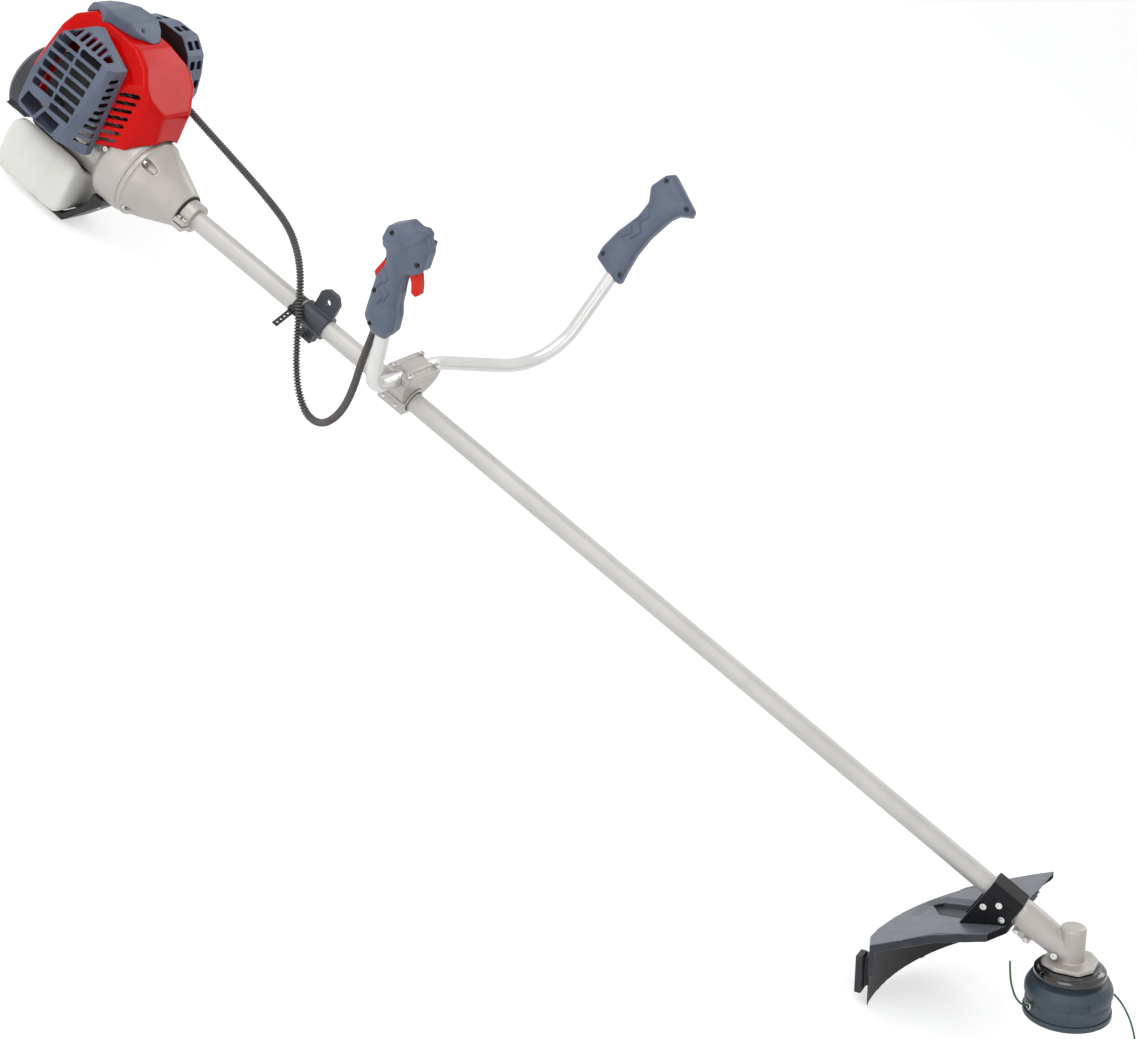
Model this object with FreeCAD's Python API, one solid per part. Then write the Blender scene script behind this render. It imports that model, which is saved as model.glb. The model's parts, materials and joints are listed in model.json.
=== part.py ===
import FreeCAD, Part
import math
import os

# Petrol string trimmer with a bicycle handlebar, in millimetres.
# It is modelled about the drive tube: X runs along the tube from the engine's flange towards
# the cutting head, Y to the operator's left and Z up. The last section lays it on its tank foot
# and its guard, which is how it rests on a floor.

os.makedirs("parts", exist_ok=True)
V = FreeCAD.Vector
X_AXIS = V(1, 0, 0)
Y_AXIS = V(0, 1, 0)
Z_AXIS = V(0, 0, 1)

# ---------------------------------------------------------------- driving dimensions
# Clearances
running_gap = 0.05      # radial, shaft in a bearing or bush
sliding_gap = 0.4       # round moving plastic pieces
screw_gap = 0.25        # radial, screw in a clearance hole
cover_gap = 0.5         # between a cover and what it goes round

# Drive line
tube_radius = 14.0
tube_wall = 1.6
head_x = 1647.4         # where the head's shaft crosses the tube's axis
tube_start = 62.0
tube_end = head_x - 41.4
shaft_radius = 3.5
bush_length = 26.0
bush_places = (200.0, 640.0, 1080.0, 1480.0)

# Clutch housing, drum and shoes
flange_radius = 60.0
flange_thick = 8.0
nose_radius = 27.0
nose_end = 80.0
flange_screw_offset = 37.2
drum_radius = 38.0
drum_wall = 2.5
drum_start = 9.0
drum_depth = 27.0
shoe_radius = 34.0
drum_bearing_radius = 15.0

# Engine
fan_case_radius = 62.0
fan_case_depth = 50.0
fan_case_wall = 5.0
flywheel_radius = 44.0
crankcase_radius = 46.0
crankcase_rear = -112.0
crank_radius = 6.0
crank_throw = 16.0
rod_length = 60.0
cylinder_x = -82.0
cylinder_base = 42.0
cylinder_top = 112.0
bore_radius = 20.0
fin_half_x = 31.0
fin_half_y = 36.0
fin_thick = 2.0
fin_pitch = 7.0
plug_radius = 5.0
case_wall = 2.6
shroud_half_width = 60.0

# Starter
starter_centre_z = 12.0
starter_radius = 57.0
starter_front = -178.0
starter_rear = -225.0
reel_radius = 30.0
rope_radius = 1.6
starter_exit_y = 60.0

# Fuel tank and foot
tank_rear = -195.0
tank_front = -70.0
tank_half_width = 60.0
tank_top = -24.0
tank_bottom = -116.5
tank_corner = 20.0
tank_wall = 2.5
cap_radius = 20.0
foot_bottom = -126.0
foot_half_width = 31.0
foot_thick = 8.0

# Harness hanger and cable strap
hanger_x = 327.0
hanger_width = 44.0
hanger_eye_x = 332.0
hanger_eye_z = 34.0
hanger_eye_radius = 4.75
hanger_lobe_radius = 17.0
strap_x = 296.0
strap_width = 9.0

# Handlebar mount
mount_x = 485.0
bar_height = 33.0
bar_radius = 10.0
bar_wall = 1.5
mount_half_x = 21.0
mount_half_y = 45.0
mount_bush_thick = 1.6
mount_screw_x = 13.3
mount_screw_y = 36.1
mount_cap_top = 43.5

# Handlebar, drawn as a run of corners, and the grips on its ends
left_end = V(566, 330, 347)
left_corner = V(585, 207, 67)
left_shoulder = V(485, 66, bar_height)
right_corner = V(485, -110, bar_height)
right_end = V(438.9, -150, 260.8)
bar_bends = (120.0, 60.0, 38.0)
grip_half_thick = 17.0
grip_slot_half = 6.5
lever_half = 6.0

# Throttle conduit and cables
conduit_radius = 5.0
cable_radius = 1.3

# Gear housing and cutting head
head_tilt = 32.72       # degrees between the head's plane and the tube
neck_start = tube_end - 44.0
neck_radius = tube_radius + 4.5
gear_case_radius = 16.8
gear_case_top = 39.0
gear_flange_radius = 32.7
gear_flange_low = -14.0
output_radius = 5.0
cone_distance = 20.0
pinion_teeth = 14
gear_teeth = 19
cup_radius = 46.5
head_radius = 56.7
rim_radius = 57.1
head_bottom = -84.0
spool_radius = 48.0
knob_radius = 25.0
knob_bottom = -97.0
bump_travel = 5.0
line_radius = 1.35

# Guard, in the head's own plane: forward is +x there, and heights are along the head's axis
guard_corner = (-77.0, 214.0)
guard_middle = (-192.0, 92.0)
guard_near_end = (-239.0, -95.0)
guard_wall = 3.0
guard_low = -80.0
guard_lip = 12.0
guard_top = 42.7
guard_slope_x = 0.166
guard_slope_y = -0.116
bracket_end = neck_start
bracket_start = bracket_end - 47.0
bracket_wall = 7.0


# ---------------------------------------------------------------- helpers
def turn_point(before, corner, after, radius):
    """The arc that rounds one corner: its start, middle and end."""
    back = (before - corner).normalize()
    on = (after - corner).normalize()
    half = back.getAngle(on) / 2
    reach = radius / math.tan(half)
    bisector = (back + on).normalize()
    centre = corner + bisector * (radius / math.sin(half))
    return corner + back * reach, centre - bisector * radius, corner + on * reach


def rounded_loop(points, radius):
    """A closed wire through points, with every corner rounded."""
    arcs = [turn_point(points[i - 1], points[i], points[(i + 1) % len(points)], radius)
            for i in range(len(points))]
    edges = []
    for i, (start, middle, end) in enumerate(arcs):
        previous_end = arcs[i - 1][2]
        if previous_end.distanceToPoint(start) > 1e-4:
            edges.append(Part.LineSegment(previous_end, start).toShape())
        edges.append(Part.Arc(start, middle, end).toShape())
    return Part.Wire(edges)


def loop(points, radius):
    if radius > 0:
        return rounded_loop(points, radius)
    return Part.makePolygon(points + [points[0]])


def side_prism(outline, low_y, high_y, radius=0.0):
    """An outline of (x, z) points, from low_y to high_y."""
    wire = loop([V(x, low_y, z) for x, z in outline], radius)
    return Part.Face(wire).extrude(V(0, high_y - low_y, 0))


def plan_prism(outline, low_z, high_z, radius=0.0):
    """An outline of (x, y) points, from low_z to high_z."""
    wire = loop([V(x, y, low_z) for x, y in outline], radius)
    return Part.Face(wire).extrude(V(0, 0, high_z - low_z))


def front_prism(outline, low_x, high_x, radius=0.0):
    """An outline of (y, z) points, from low_x to high_x."""
    wire = loop([V(low_x, y, z) for y, z in outline], radius)
    return Part.Face(wire).extrude(V(high_x - low_x, 0, 0))


def inset(outline, distance):
    """The outline with each side moved inward by distance; it may be negative."""
    area = 0.0
    for (a, b), (c, d) in zip(outline, outline[1:] + outline[:1]):
        area += a * d - b * c
    side = 1.0 if area > 0 else -1.0
    lines = []
    for (a, b), (c, d) in zip(outline, outline[1:] + outline[:1]):
        length = math.hypot(c - a, d - b)
        across = (-(d - b) / length * side, (c - a) / length * side)
        lines.append((a + across[0] * distance, b + across[1] * distance, c - a, d - b))
    moved = []
    for i, (ax, ay, adx, ady) in enumerate(lines):
        bx, by, bdx, bdy = lines[i - 1]
        cross = bdx * ady - bdy * adx
        t = ((ax - bx) * ady - (ay - by) * adx) / cross
        moved.append((bx + bdx * t, by + bdy * t))
    return moved


def box(low, high):
    size = V(*high) - V(*low)
    return Part.makeBox(size.x, size.y, size.z, V(*low))


def rod(start, end, radius):
    """A round bar between two points."""
    along = V(*end) - V(*start)
    return Part.makeCylinder(radius, along.Length, V(*start), along)


def pipe_ring(start, end, outer, inner):
    return rod(start, end, outer).cut(rod(start, end, inner))


def turned(profile, origin=V(0, 0, 0), axis=X_AXIS):
    """A closed profile of (distance, radius) points, turned about an axis."""
    points = [V(distance, 0, radius) for distance, radius in profile]
    face = Part.Face(Part.makePolygon(points + [points[0]]))
    shape = face.revolve(V(0, 0, 0), X_AXIS, 360)
    shape.Placement = FreeCAD.Placement(origin, FreeCAD.Rotation(X_AXIS, axis))
    return shape


def joined(shapes):
    return shapes[0].multiFuse(shapes[1:]).removeSplitter()


def group(shapes):
    """Separate solids that share one node."""
    return Part.makeCompound(shapes)


def socket_screw(seat, direction, length, radius):
    """A socket-head screw: its head stands on seat and its shank goes along direction."""
    seat = V(*seat)
    direction = V(*direction).normalize()
    head = Part.makeCylinder(radius * 1.75, radius * 1.9, seat, direction * -1)
    recess = Part.makeCylinder(radius * 0.9, radius, seat - direction * radius * 1.9, direction)
    shank = Part.makeCylinder(radius, length, seat, direction)
    return joined([head, shank]).cut(recess)


def bent_path(corners, radii):
    """Straight runs joined by tangent arcs."""
    edges = []
    start = corners[0]
    for i, radius in enumerate(radii):
        arc = turn_point(corners[i], corners[i + 1], corners[i + 2], radius)
        if start.distanceToPoint(arc[0]) > 1e-4:
            edges.append(Part.LineSegment(start, arc[0]).toShape())
        edges.append(Part.Arc(*arc).toShape())
        start = arc[2]
    edges.append(Part.LineSegment(start, corners[-1]).toShape())
    return Part.Wire(edges)


def swept(path, radius):
    """A round section swept along a path."""
    edge = path.Edges[0]
    start = edge.valueAt(edge.FirstParameter)
    along = edge.tangentAt(edge.FirstParameter)
    section = Part.Wire(Part.makeCircle(radius, start, along))
    return path.makePipeShell([section], True, False)


def cord_radii(points):
    """Each corner's radius: as large as its two runs allow."""
    radii = []
    for a, b, c in zip(points, points[1:], points[2:]):
        shorter = min(a.distanceToPoint(b), b.distanceToPoint(c))
        half_turn = (b - a).getAngle(c - b) / 2
        radii.append(0.45 * shorter / math.tan(half_turn))
    return radii


def cord_tube(name, points, radius):
    radii = cord_radii(points)
    path = bent_path(points, radii)
    tube = swept(path, radius)
    expected = math.pi * radius ** 2 * path.Length
    print(name, "length", round(path.Length, 1), "radii", [round(r, 1) for r in radii],
          "volume ratio", round(tube.Volume / expected, 4))
    return tube


def frame_from(origin, up):
    """A placement at origin whose z is up and whose x leans as little as it can from X."""
    up = V(up).normalize()
    across = (X_AXIS - up * X_AXIS.dot(up)).normalize()
    side = up.cross(across)
    return FreeCAD.Placement(FreeCAD.Matrix(
        across.x, side.x, up.x, origin.x,
        across.y, side.y, up.y, origin.y,
        across.z, side.z, up.z, origin.z,
        0, 0, 0, 1))


def placed(shape, placement):
    moved = shape.copy()
    moved.Placement = placement.multiply(moved.Placement)
    return moved


nodes = {}

# ---------------------------------------------------------------- drive tube and shaft
tube_bore = tube_radius - tube_wall
nodes["drive_tube"] = pipe_ring((tube_start, 0, 0), (tube_end, 0, 0), tube_radius, tube_bore)


def shaft_bush(middle):
    start = (middle - bush_length / 2, 0, 0)
    end = (middle + bush_length / 2, 0, 0)
    return pipe_ring(start, end, tube_bore, shaft_radius + running_gap)


bearings = [shaft_bush(place) for place in bush_places]
rubber_bushes = []
screws = []

# ---------------------------------------------------------------- clutch
drum_back = drum_start + drum_depth
bearing_start = drum_back + 10
bearing_end = bearing_start + 10
shaft_start = drum_back + 4

clutch_shell = turned([
    (0, flange_radius), (flange_thick, flange_radius), (flange_thick, flange_radius - 3),
    (28, 50), (55, 38), (nose_end, nose_radius), (nose_end, tube_radius),
    (tube_start, tube_radius), (tube_start, tube_bore), (bearing_end, tube_bore),
    (bearing_end, drum_bearing_radius), (bearing_start, drum_bearing_radius),
    (bearing_start - 3, drum_radius - 12), (drum_back + 3, drum_radius + 2), (0, drum_radius + 4)])
flange_screw_points = [(y * flange_screw_offset, z * flange_screw_offset)
                       for y in (-1, 1) for z in (-1, 1)]
spot_radius = 7.0
for y, z in flange_screw_points:
    clutch_shell = clutch_shell.cut(rod((flange_thick, y, z), (30, y, z), spot_radius))
    clutch_shell = clutch_shell.cut(rod((-1, y, z), (flange_thick + 1, y, z), 2.5 + screw_gap))
nodes["clutch_housing"] = clutch_shell

bearings.append(pipe_ring((bearing_start, 0, 0), (bearing_end, 0, 0),
                          drum_bearing_radius, 9 + running_gap))
nodes["clutch_drum"] = turned([
    (drum_start, drum_radius), (drum_back + drum_wall, drum_radius),
    (drum_back + drum_wall, 9), (bearing_end, 9), (bearing_end, shaft_radius),
    (shaft_start, shaft_radius), (shaft_start, 6.5), (drum_back, 6.5),
    (drum_back, drum_radius - drum_wall), (drum_start, drum_radius - drum_wall)])


def clutch_shoe(side):
    shoe = pipe_ring((12, 0, 0), (30, 0, 0), shoe_radius, 14)
    half = box((10, -1, -40), (32, 40, 40)) if side > 0 else box((10, -40, -40), (32, 1, 40))
    keep = box((10, 1, -40), (32, 40, 40)) if side > 0 else box((10, -40, -40), (32, -1, 40))
    groove = pipe_ring((24, 0, 0), (28, 0, 0), 26, 21).common(half)
    return shoe.common(keep).cut(groove)


clutch_spring = Part.makeTorus(23.5, 1.6, V(26, 0, 0), X_AXIS)
clutch_hub = pipe_ring((12, 0, 0), (30, 0, 0), 14, crank_radius)
clutch_parts = [clutch_shoe(1), clutch_shoe(-1), clutch_hub, clutch_spring]

# ---------------------------------------------------------------- tube clamp at the nose
collar_start = nose_end + 2
collar_end = collar_start + 18
collar_radius = 22.0
rubber_bushes.append(pipe_ring((nose_end, 0, 0), (collar_start, 0, 0), 25, tube_radius))
ear = box((collar_start, -31, -16), (collar_end, -12, -1))
collar = joined([pipe_ring((collar_start, 0, 0), (collar_end, 0, 0), collar_radius, tube_radius),
                 ear])
collar = collar.cut(rod((collar_start - 1, 0, 0), (collar_end + 1, 0, 0), tube_radius))
collar = collar.cut(box((collar_start - 1, -40, -9.5), (collar_end + 1, -tube_radius + 1, -7.5)))
collar_screw_x = (collar_start + 4.5, collar_end - 4.5)
for x in collar_screw_x:
    collar = collar.cut(rod((x, -25, -20), (x, -25, 0), 2 + screw_gap))
collar_screws = [socket_screw((x, -25, -1), (0, 0, -1), 16, 2.0) for x in collar_screw_x]
for screw in collar_screws:
    collar = collar.cut(screw)
nodes["tube_clamp"] = collar
screws += collar_screws

# ---------------------------------------------------------------- fan case and crankcase
fan_back = -fan_case_depth
fan_case = turned([
    (0, fan_case_radius - 3), (0, flywheel_radius + 6), (fan_back + fan_case_wall,
     flywheel_radius + 6), (fan_back + fan_case_wall, crank_radius), (fan_back, crank_radius),
    (fan_back, fan_case_radius - 8), (fan_back + 10, fan_case_radius), (-6, fan_case_radius)])
air_outlet = box((fan_back + fan_case_wall, -26, 30), (-8, 26, fan_case_radius + 10))
fan_case = fan_case.cut(air_outlet)
for y, z in flange_screw_points:
    fan_case = fan_case.cut(rod((-18, y, z), (1, y, z), 2.5))
nodes["fan_case"] = fan_case

hub = turned([(-40, 30), (-36, flywheel_radius), (-32, flywheel_radius), (-32, 20), (-12, 14),
              (-12, crank_radius), (-42, crank_radius), (-42, 30)])
blade_count = 14
blade = box((-32.5, -1.2, 24), (-16, 1.2, flywheel_radius - 1))
blades = []
for i in range(blade_count):
    turned_blade = blade.copy()
    turned_blade.rotate(V(0, 0, 0), X_AXIS, i * 360.0 / blade_count)
    blades.append(turned_blade)
nodes["flywheel_fan"] = joined([hub] + blades)

coil = box((fan_back + fan_case_wall, -15, flywheel_radius + 1.2), (-24, 15, 68))
coil = coil.cut(rod((-40, -16, 62), (-40, 16, 62), 2.2))

case_front = fan_back
cavity_radius = 33.0
crank_block = joined([
    rod((crankcase_rear, 0, 0), (case_front, 0, 0), crankcase_radius),
    box((crankcase_rear, -36, 0), (case_front - 1, 36, cylinder_base))])
crank_block = crank_block.cut(rod((-100, 0, 0), (-64, 0, 0), cavity_radius))
crank_block = crank_block.cut(rod((cylinder_x, 0, 0), (cylinder_x, 0, 60), bore_radius + 1))
crank_block = crank_block.cut(rod((-200, 0, 0), (0, 0, 0), crank_radius))
crank_block = crank_block.cut(box((crankcase_rear - 1, -40, cylinder_base), (0, 40, 60)))

web_radius = 30.0
web_thick = 8.0
web_gap = 8.0
pin_z = crank_throw
crankshaft = joined([
    rod((starter_front - 6, 0, 0), (cylinder_x - web_gap, 0, 0), crank_radius),
    rod((cylinder_x + web_gap, 0, 0), (30, 0, 0), crank_radius),
    rod((cylinder_x - web_gap - web_thick, 0, 0), (cylinder_x - web_gap, 0, 0), web_radius),
    rod((cylinder_x + web_gap, 0, 0), (cylinder_x + web_gap + web_thick, 0, 0), web_radius),
    rod((cylinder_x - web_gap, 0, pin_z), (cylinder_x + web_gap, 0, pin_z), crank_radius)])
nodes["crankshaft_and_clutch_shoes"] = group([crankshaft] + clutch_parts)

rod_half = 5.0
small_z = pin_z + rod_length
rod_body = joined([
    rod((cylinder_x - rod_half, 0, pin_z), (cylinder_x + rod_half, 0, pin_z), crank_radius + 4),
    rod((cylinder_x - rod_half, 0, small_z), (cylinder_x + rod_half, 0, small_z), 8),
    box((cylinder_x - 3, -5, pin_z), (cylinder_x + 3, 5, small_z))])
pin_radius = 4.0
rod_body = rod_body.cut(rod((cylinder_x - 20, 0, pin_z), (cylinder_x + 20, 0, pin_z),
                            crank_radius + running_gap))
rod_body = rod_body.cut(rod((cylinder_x - 20, 0, small_z), (cylinder_x + 20, 0, small_z),
                            pin_radius + running_gap))

piston_radius = bore_radius - running_gap
piston_low = small_z - 12
piston_top = small_z + 15
piston = rod((cylinder_x, 0, piston_low), (cylinder_x, 0, piston_top), piston_radius)
piston = piston.cut(rod((cylinder_x, 0, piston_low - 1), (cylinder_x, 0, piston_top - 6),
                        piston_radius - 4))
piston = piston.cut(rod((cylinder_x - 30, 0, small_z), (cylinder_x + 30, 0, small_z), pin_radius))
for ring_z in (piston_top - 3, piston_top - 6):
    piston = piston.cut(pipe_ring((cylinder_x, 0, ring_z), (cylinder_x, 0, ring_z + 1.2),
                                  bore_radius + 1, bore_radius - 1.5))
gudgeon_pin = rod((cylinder_x - 18, 0, small_z), (cylinder_x + 18, 0, small_z), pin_radius)
nodes["piston_and_rod"] = group([piston, gudgeon_pin, rod_body])

dome_top = piston_top + 6
barrel = rod((cylinder_x, 0, cylinder_base), (cylinder_x, 0, cylinder_top), bore_radius + 6)
fins = []
fin_z = cylinder_base + 10
while fin_z < cylinder_top:
    fins.append(box((cylinder_x - fin_half_x, -fin_half_y, fin_z),
                    (cylinder_x + fin_half_x, fin_half_y, fin_z + fin_thick)))
    fin_z += fin_pitch
port_z = 76.0
port_half = 11.0
exhaust_face = -fin_half_y - 5
intake_face = fin_half_y + 6
foot_flange = box((cylinder_x - 26, -30, cylinder_base), (cylinder_x + 26, 30, cylinder_base + 5))
exhaust_boss = box((cylinder_x - port_half, exhaust_face, port_z - 12),
                   (cylinder_x + port_half, 0, port_z + 12))
intake_boss = box((cylinder_x - port_half, 0, port_z - 12),
                  (cylinder_x + port_half, intake_face, port_z + 12))
cylinder = joined([barrel, foot_flange, exhaust_boss, intake_boss] + fins)
cylinder = cylinder.cut(rod((cylinder_x, 0, 0), (cylinder_x, 0, dome_top), bore_radius))
cylinder = cylinder.cut(rod((cylinder_x, exhaust_face - 1, port_z),
                            (cylinder_x, -bore_radius + 1, port_z), 7))
cylinder = cylinder.cut(rod((cylinder_x, bore_radius - 1, port_z - 4),
                            (cylinder_x, intake_face + 1, port_z - 4), 6))
cylinder = cylinder.cut(rod((cylinder_x, 0, dome_top - 1), (cylinder_x, 0, 130), plug_radius))
nodes["cylinder"] = cylinder

plug_top = cylinder_top + 30
plug_hex = plan_prism([(cylinder_x + 8 * math.cos(math.radians(60 * i)),
                        8 * math.sin(math.radians(60 * i))) for i in range(6)],
                      cylinder_top, cylinder_top + 9)
spark_plug = joined([
    rod((cylinder_x, 0, dome_top), (cylinder_x, 0, cylinder_top), plug_radius), plug_hex,
    rod((cylinder_x, 0, cylinder_top), (cylinder_x, 0, plug_top), 4.5)])
boot_low = cylinder_top + 13
plug_boot = joined([
    rod((cylinder_x, 0, boot_low), (cylinder_x, 0, plug_top + 4), 8.5),
    rod((cylinder_x, 0, plug_top - 3), (cylinder_x + 26, 0, plug_top - 3), 5.5)]).cut(
    rod((cylinder_x, 0, boot_low - 1), (cylinder_x, 0, plug_top), 4.5))
nodes["ignition_parts"] = group([coil, spark_plug, plug_boot])

# ---------------------------------------------------------------- exhaust
muffler_outline = [(-146, 34), (-146, 120), (-76, 120), (-76, 34)]
muffler = side_prism(muffler_outline, -88, exhaust_face, 10)
inner = side_prism(inset(muffler_outline, 1.8), -86.2, exhaust_face - 1.8, 8)
muffler = muffler.cut(inner)
muffler = muffler.cut(rod((cylinder_x - 5, exhaust_face - 3, port_z),
                          (cylinder_x - 5, exhaust_face + 1, port_z), 6))
outlet = rod((-118, -88, 52), (-118, -94, 48), 6).cut(rod((-118, -80, 53), (-118, -96, 47), 4.8))
nodes["muffler"] = joined([muffler, outlet.cut(side_prism(muffler_outline, -88, -50, 10))])

# ---------------------------------------------------------------- red engine shroud
shroud_side = [(4, -20), (5, 55), (0, 105), (-48, 152), (-76, 165), (-158, 170), (-182, 150),
               (-198, 90), (-211, 36), (-205, -20)]
shroud_plan = [(-213, -44), (-170, -shroud_half_width), (-58, -shroud_half_width), (-18, -50),
               (5, -22), (5, 32), (-26, shroud_half_width), (-170, shroud_half_width), (-213, 44)]
shroud_front = [(-shroud_half_width, -20), (-shroud_half_width, 120), (-34, 170), (34, 172),
                (shroud_half_width, 142), (shroud_half_width, -20)]
shroud_edge = [(-230, -40), (-230, 0), (-60, 0), (-39, 13), (-18, 24), (20, 34), (20, -40)]


def shroud_body(wall):
    side = side_prism(inset(shroud_side, wall), -100, 100)
    plan = plan_prism(inset(shroud_plan, wall), -100, 200)
    return side.common(plan).common(front_prism(inset(shroud_front, wall), -300, 100))


shroud_outer = shroud_body(0.0)
shroud_round = shroud_outer.makeFillet(5.0, shroud_outer.Edges)
shroud = shroud_round.cut(shroud_body(case_wall))
shroud = shroud.cut(side_prism(shroud_edge, -100, 100))
muffler_window = [(-160, 8), (-160, 140), (-70, 140), (-70, 8)]
shroud = shroud.cut(side_prism(muffler_window, -100, -40, 8))
intake_window = [(-112, 50), (-112, 110), (-54, 110), (-54, 50)]
shroud = shroud.cut(side_prism(intake_window, 40, 100, 6))
louvre_count = 8
for i in range(louvre_count):
    slot = box((-16, -6, -2.2), (14, 20, 2.2))
    slot.rotate(V(0, 0, 0), Y_AXIS, -24)
    slot.rotate(V(0, 0, 0), Z_AXIS, 8)
    slot.translate(V(-44 - 0.6 * i, -62, 112 - 12.6 * i))
    shroud = shroud.cut(slot)
shroud = shroud.cut(rod((starter_rear - 20, 0, starter_centre_z),
                        (starter_front, 0, starter_centre_z), starter_radius + cover_gap))
shroud = shroud.cut(rod((-70, 0, 0), (30, 0, 0), fan_case_radius + cover_gap))
nodes["engine_shroud"] = shroud

# ---------------------------------------------------------------- top cap on the shroud
cap_side = [(-185, 150), (-176, 171), (-160, 179), (-139, 185), (-108, 184), (-76, 164),
            (-80, 140), (-180, 130)]
cap_plan = [(-183, -20), (-142, -38), (-118, -33), (-96, -22), (-79, 4), (-82, 22), (-96, 34),
            (-116, 40), (-140, 33), (-175, 14)]
top_cap = side_prism(cap_side, -60, 60, 7).common(plan_prism(cap_plan, 0, 250, 7))
top_cap = top_cap.cut(shroud_outer)
nodes["top_cap"] = top_cap.cut(rod((-98, -6, 120), (-98, -6, 220), 3.0))

# ---------------------------------------------------------------- muffler grille
grille_side = [(-155, 144), (-131, 166), (-120, 171), (-61, 142), (-58, 4), (-112, 10),
               (-166, 13), (-178, 27), (-175, 61)]
grille_plan = [(-190, -shroud_half_width), (-172, -100), (-66, -100), (-50, -shroud_half_width)]
grille_front = [(-shroud_half_width, -18), (-96, -18), (-100, 0), (-100, 142), (-64, 172),
                (-shroud_half_width, 172)]
grille_facet = (V(-64, -100, 142), V(-84, -100, 44), V(-56, -72, 2))


def beyond(corners, moved):
    """The space on the far side of a plane through three corners, moved inward."""
    a, b, c = corners
    away = (b - a).cross(c - a).normalize()
    if away.x < 0:
        away = away * -1
    block = Part.makeBox(400, 400, 400, V(-200, -200, 0))
    block.Placement = FreeCAD.Placement(a - away * moved, FreeCAD.Rotation(Z_AXIS, away))
    return block


def grille_body(wall):
    side = side_prism(inset(grille_side, wall), -140, 0)
    plan_points = inset(grille_plan, wall)
    front_points = inset(grille_front, wall)
    if wall > 0:
        plan_points = [(plan_points[0][0], -20), plan_points[1], plan_points[2],
                       (plan_points[3][0], -20)]
        front_points = ([(-20, front_points[0][1])] + front_points[1:5]
                        + [(-20, front_points[5][1])])
    plan = plan_prism(plan_points, -60, 220)
    body = side.common(plan).common(front_prism(front_points, -220, 0))
    return body.cut(beyond(grille_facet, wall))


grille = grille_body(0.0).cut(grille_body(case_wall))
grille_rows = 6
row_pitch = 15.5
row_top = 128.0
slot_high = 8.0
for row in range(grille_rows):
    z = row_top - row * row_pitch
    lean = 0.10 * (row_top - z)
    for left, right in ((-148, -117), (-110, -82)):
        opening = [(left - lean, z), (left - lean, z + slot_high),
                   (right - lean, z + slot_high), (right - lean, z)]
        grille = grille.cut(side_prism(opening, -104, -92, 2.5))
for opening in ([(-156, 18), (-152, 40), (-122, 36), (-134, 14)],
                [(-126, 12), (-114, 36), (-92, 34), (-100, 12)],
                [(-150, -6), (-144, 4), (-112, 4), (-120, -6)]):
    grille = grille.cut(side_prism(opening, -104, -92, 2.5))
vent_count = 8
for i in range(vent_count):
    z = 118 - i * 13.0
    grille = grille.cut(box((-72, -86, z), (-40, -72, z + 6)))
for x in (-140, -128, -116, -104, -92):
    grille = grille.cut(box((x, -90, 140), (x + 6, -78, 200)))
nodes["muffler_grille"] = grille.cut(shroud_outer)

# ---------------------------------------------------------------- carburettor and air filter
carb_face = shroud_half_width
carburettor = joined([
    box((-104, intake_face, 58), (-64, carb_face, 94)),
    rod((cylinder_x, intake_face + 4, 52), (cylinder_x, intake_face + 4, 58), 13)])
carburettor = carburettor.cut(rod((cylinder_x, intake_face - 1, port_z - 4),
                                  (cylinder_x, carb_face + 1, port_z - 4), 6))
primer_radius = 10.0
primer_centre = V(cylinder_x, intake_face + 4, 52)
primer_pocket = rod(primer_centre - V(0, 0, 1), primer_centre + V(0, 0, 4.6),
                    primer_radius + sliding_gap)
nodes["carburettor"] = carburettor.cut(primer_pocket).cut(nodes["cylinder"])
nodes["primer_bulb"] = Part.makeSphere(primer_radius, primer_centre).common(
    box((-120, 20, 40), (-40, 90, 51.9)))

base_thick = 3.0
cover_depth = 42.0
choke_x = -140.0
choke_z = 48.0
filter_outline = [(-160, 58), (-169, 146), (-148, 163), (-112, 176), (-76, 177), (-54, 158),
                  (-44, 132), (-38, 104), (-42, 58)]
filter_base = side_prism(inset(filter_outline, case_wall + cover_gap), carb_face,
                         carb_face + base_thick, 6)
filter_base = filter_base.cut(rod((cylinder_x, carb_face - 1, port_z - 4),
                                  (cylinder_x, carb_face + base_thick + 1, port_z - 4), 6))
filter_base = filter_base.cut(shroud_outer)
stud_x = -100.0
stud_z = 120.0
stud = rod((stud_x, carb_face + base_thick, stud_z), (stud_x, carb_face + cover_depth - 14, stud_z),
           6)
foam_outline = inset(filter_outline, 12)
foam = side_prism(foam_outline, carb_face + 10, carb_face + 32, 8)
foam = foam.cut(rod((stud_x, 60, stud_z), (stud_x, 130, stud_z), 6))
cover = side_prism(filter_outline, carb_face, carb_face + cover_depth, 9)
cover_edges = [edge for edge in cover.Edges
               if edge.BoundBox.YMin > carb_face + cover_depth - 0.1]
cover = cover.makeFillet(8.0, cover_edges)
hollow = side_prism(inset(filter_outline, case_wall), carb_face - 1,
                    carb_face + cover_depth - case_wall, 7)
cover = cover.cut(hollow).cut(rod((stud_x, 60, stud_z), (stud_x, 130, stud_z), 2.5 + screw_gap))
cover_screw = socket_screw((stud_x, carb_face + cover_depth, stud_z), (0, -1, 0), 22, 2.5)
stud = stud.cut(cover_screw)
screws.append(cover_screw)
for x, z, angle in ((-130, 170, 20), (-94, 176, 2), (-65, 168, -41), (-49, 145, -69),
                    (-41, 118, -78)):
    for y in (carb_face + 12, carb_face + 28):
        vent = box((-6, -5, -8), (6, 5, 8))
        vent.rotate(V(0, 0, 0), Y_AXIS, -angle)
        vent.translate(V(x, y, z))
        cover = cover.cut(vent)
cable_notch = box((-60, carb_face - 1, 84), (-20, carb_face + 14, 100))
plate_notch = box((choke_x - 8 - cover_gap, carb_face - 1, choke_z),
                  (choke_x + 8 + cover_gap, carb_face + base_thick + cover_gap, 64))
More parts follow.
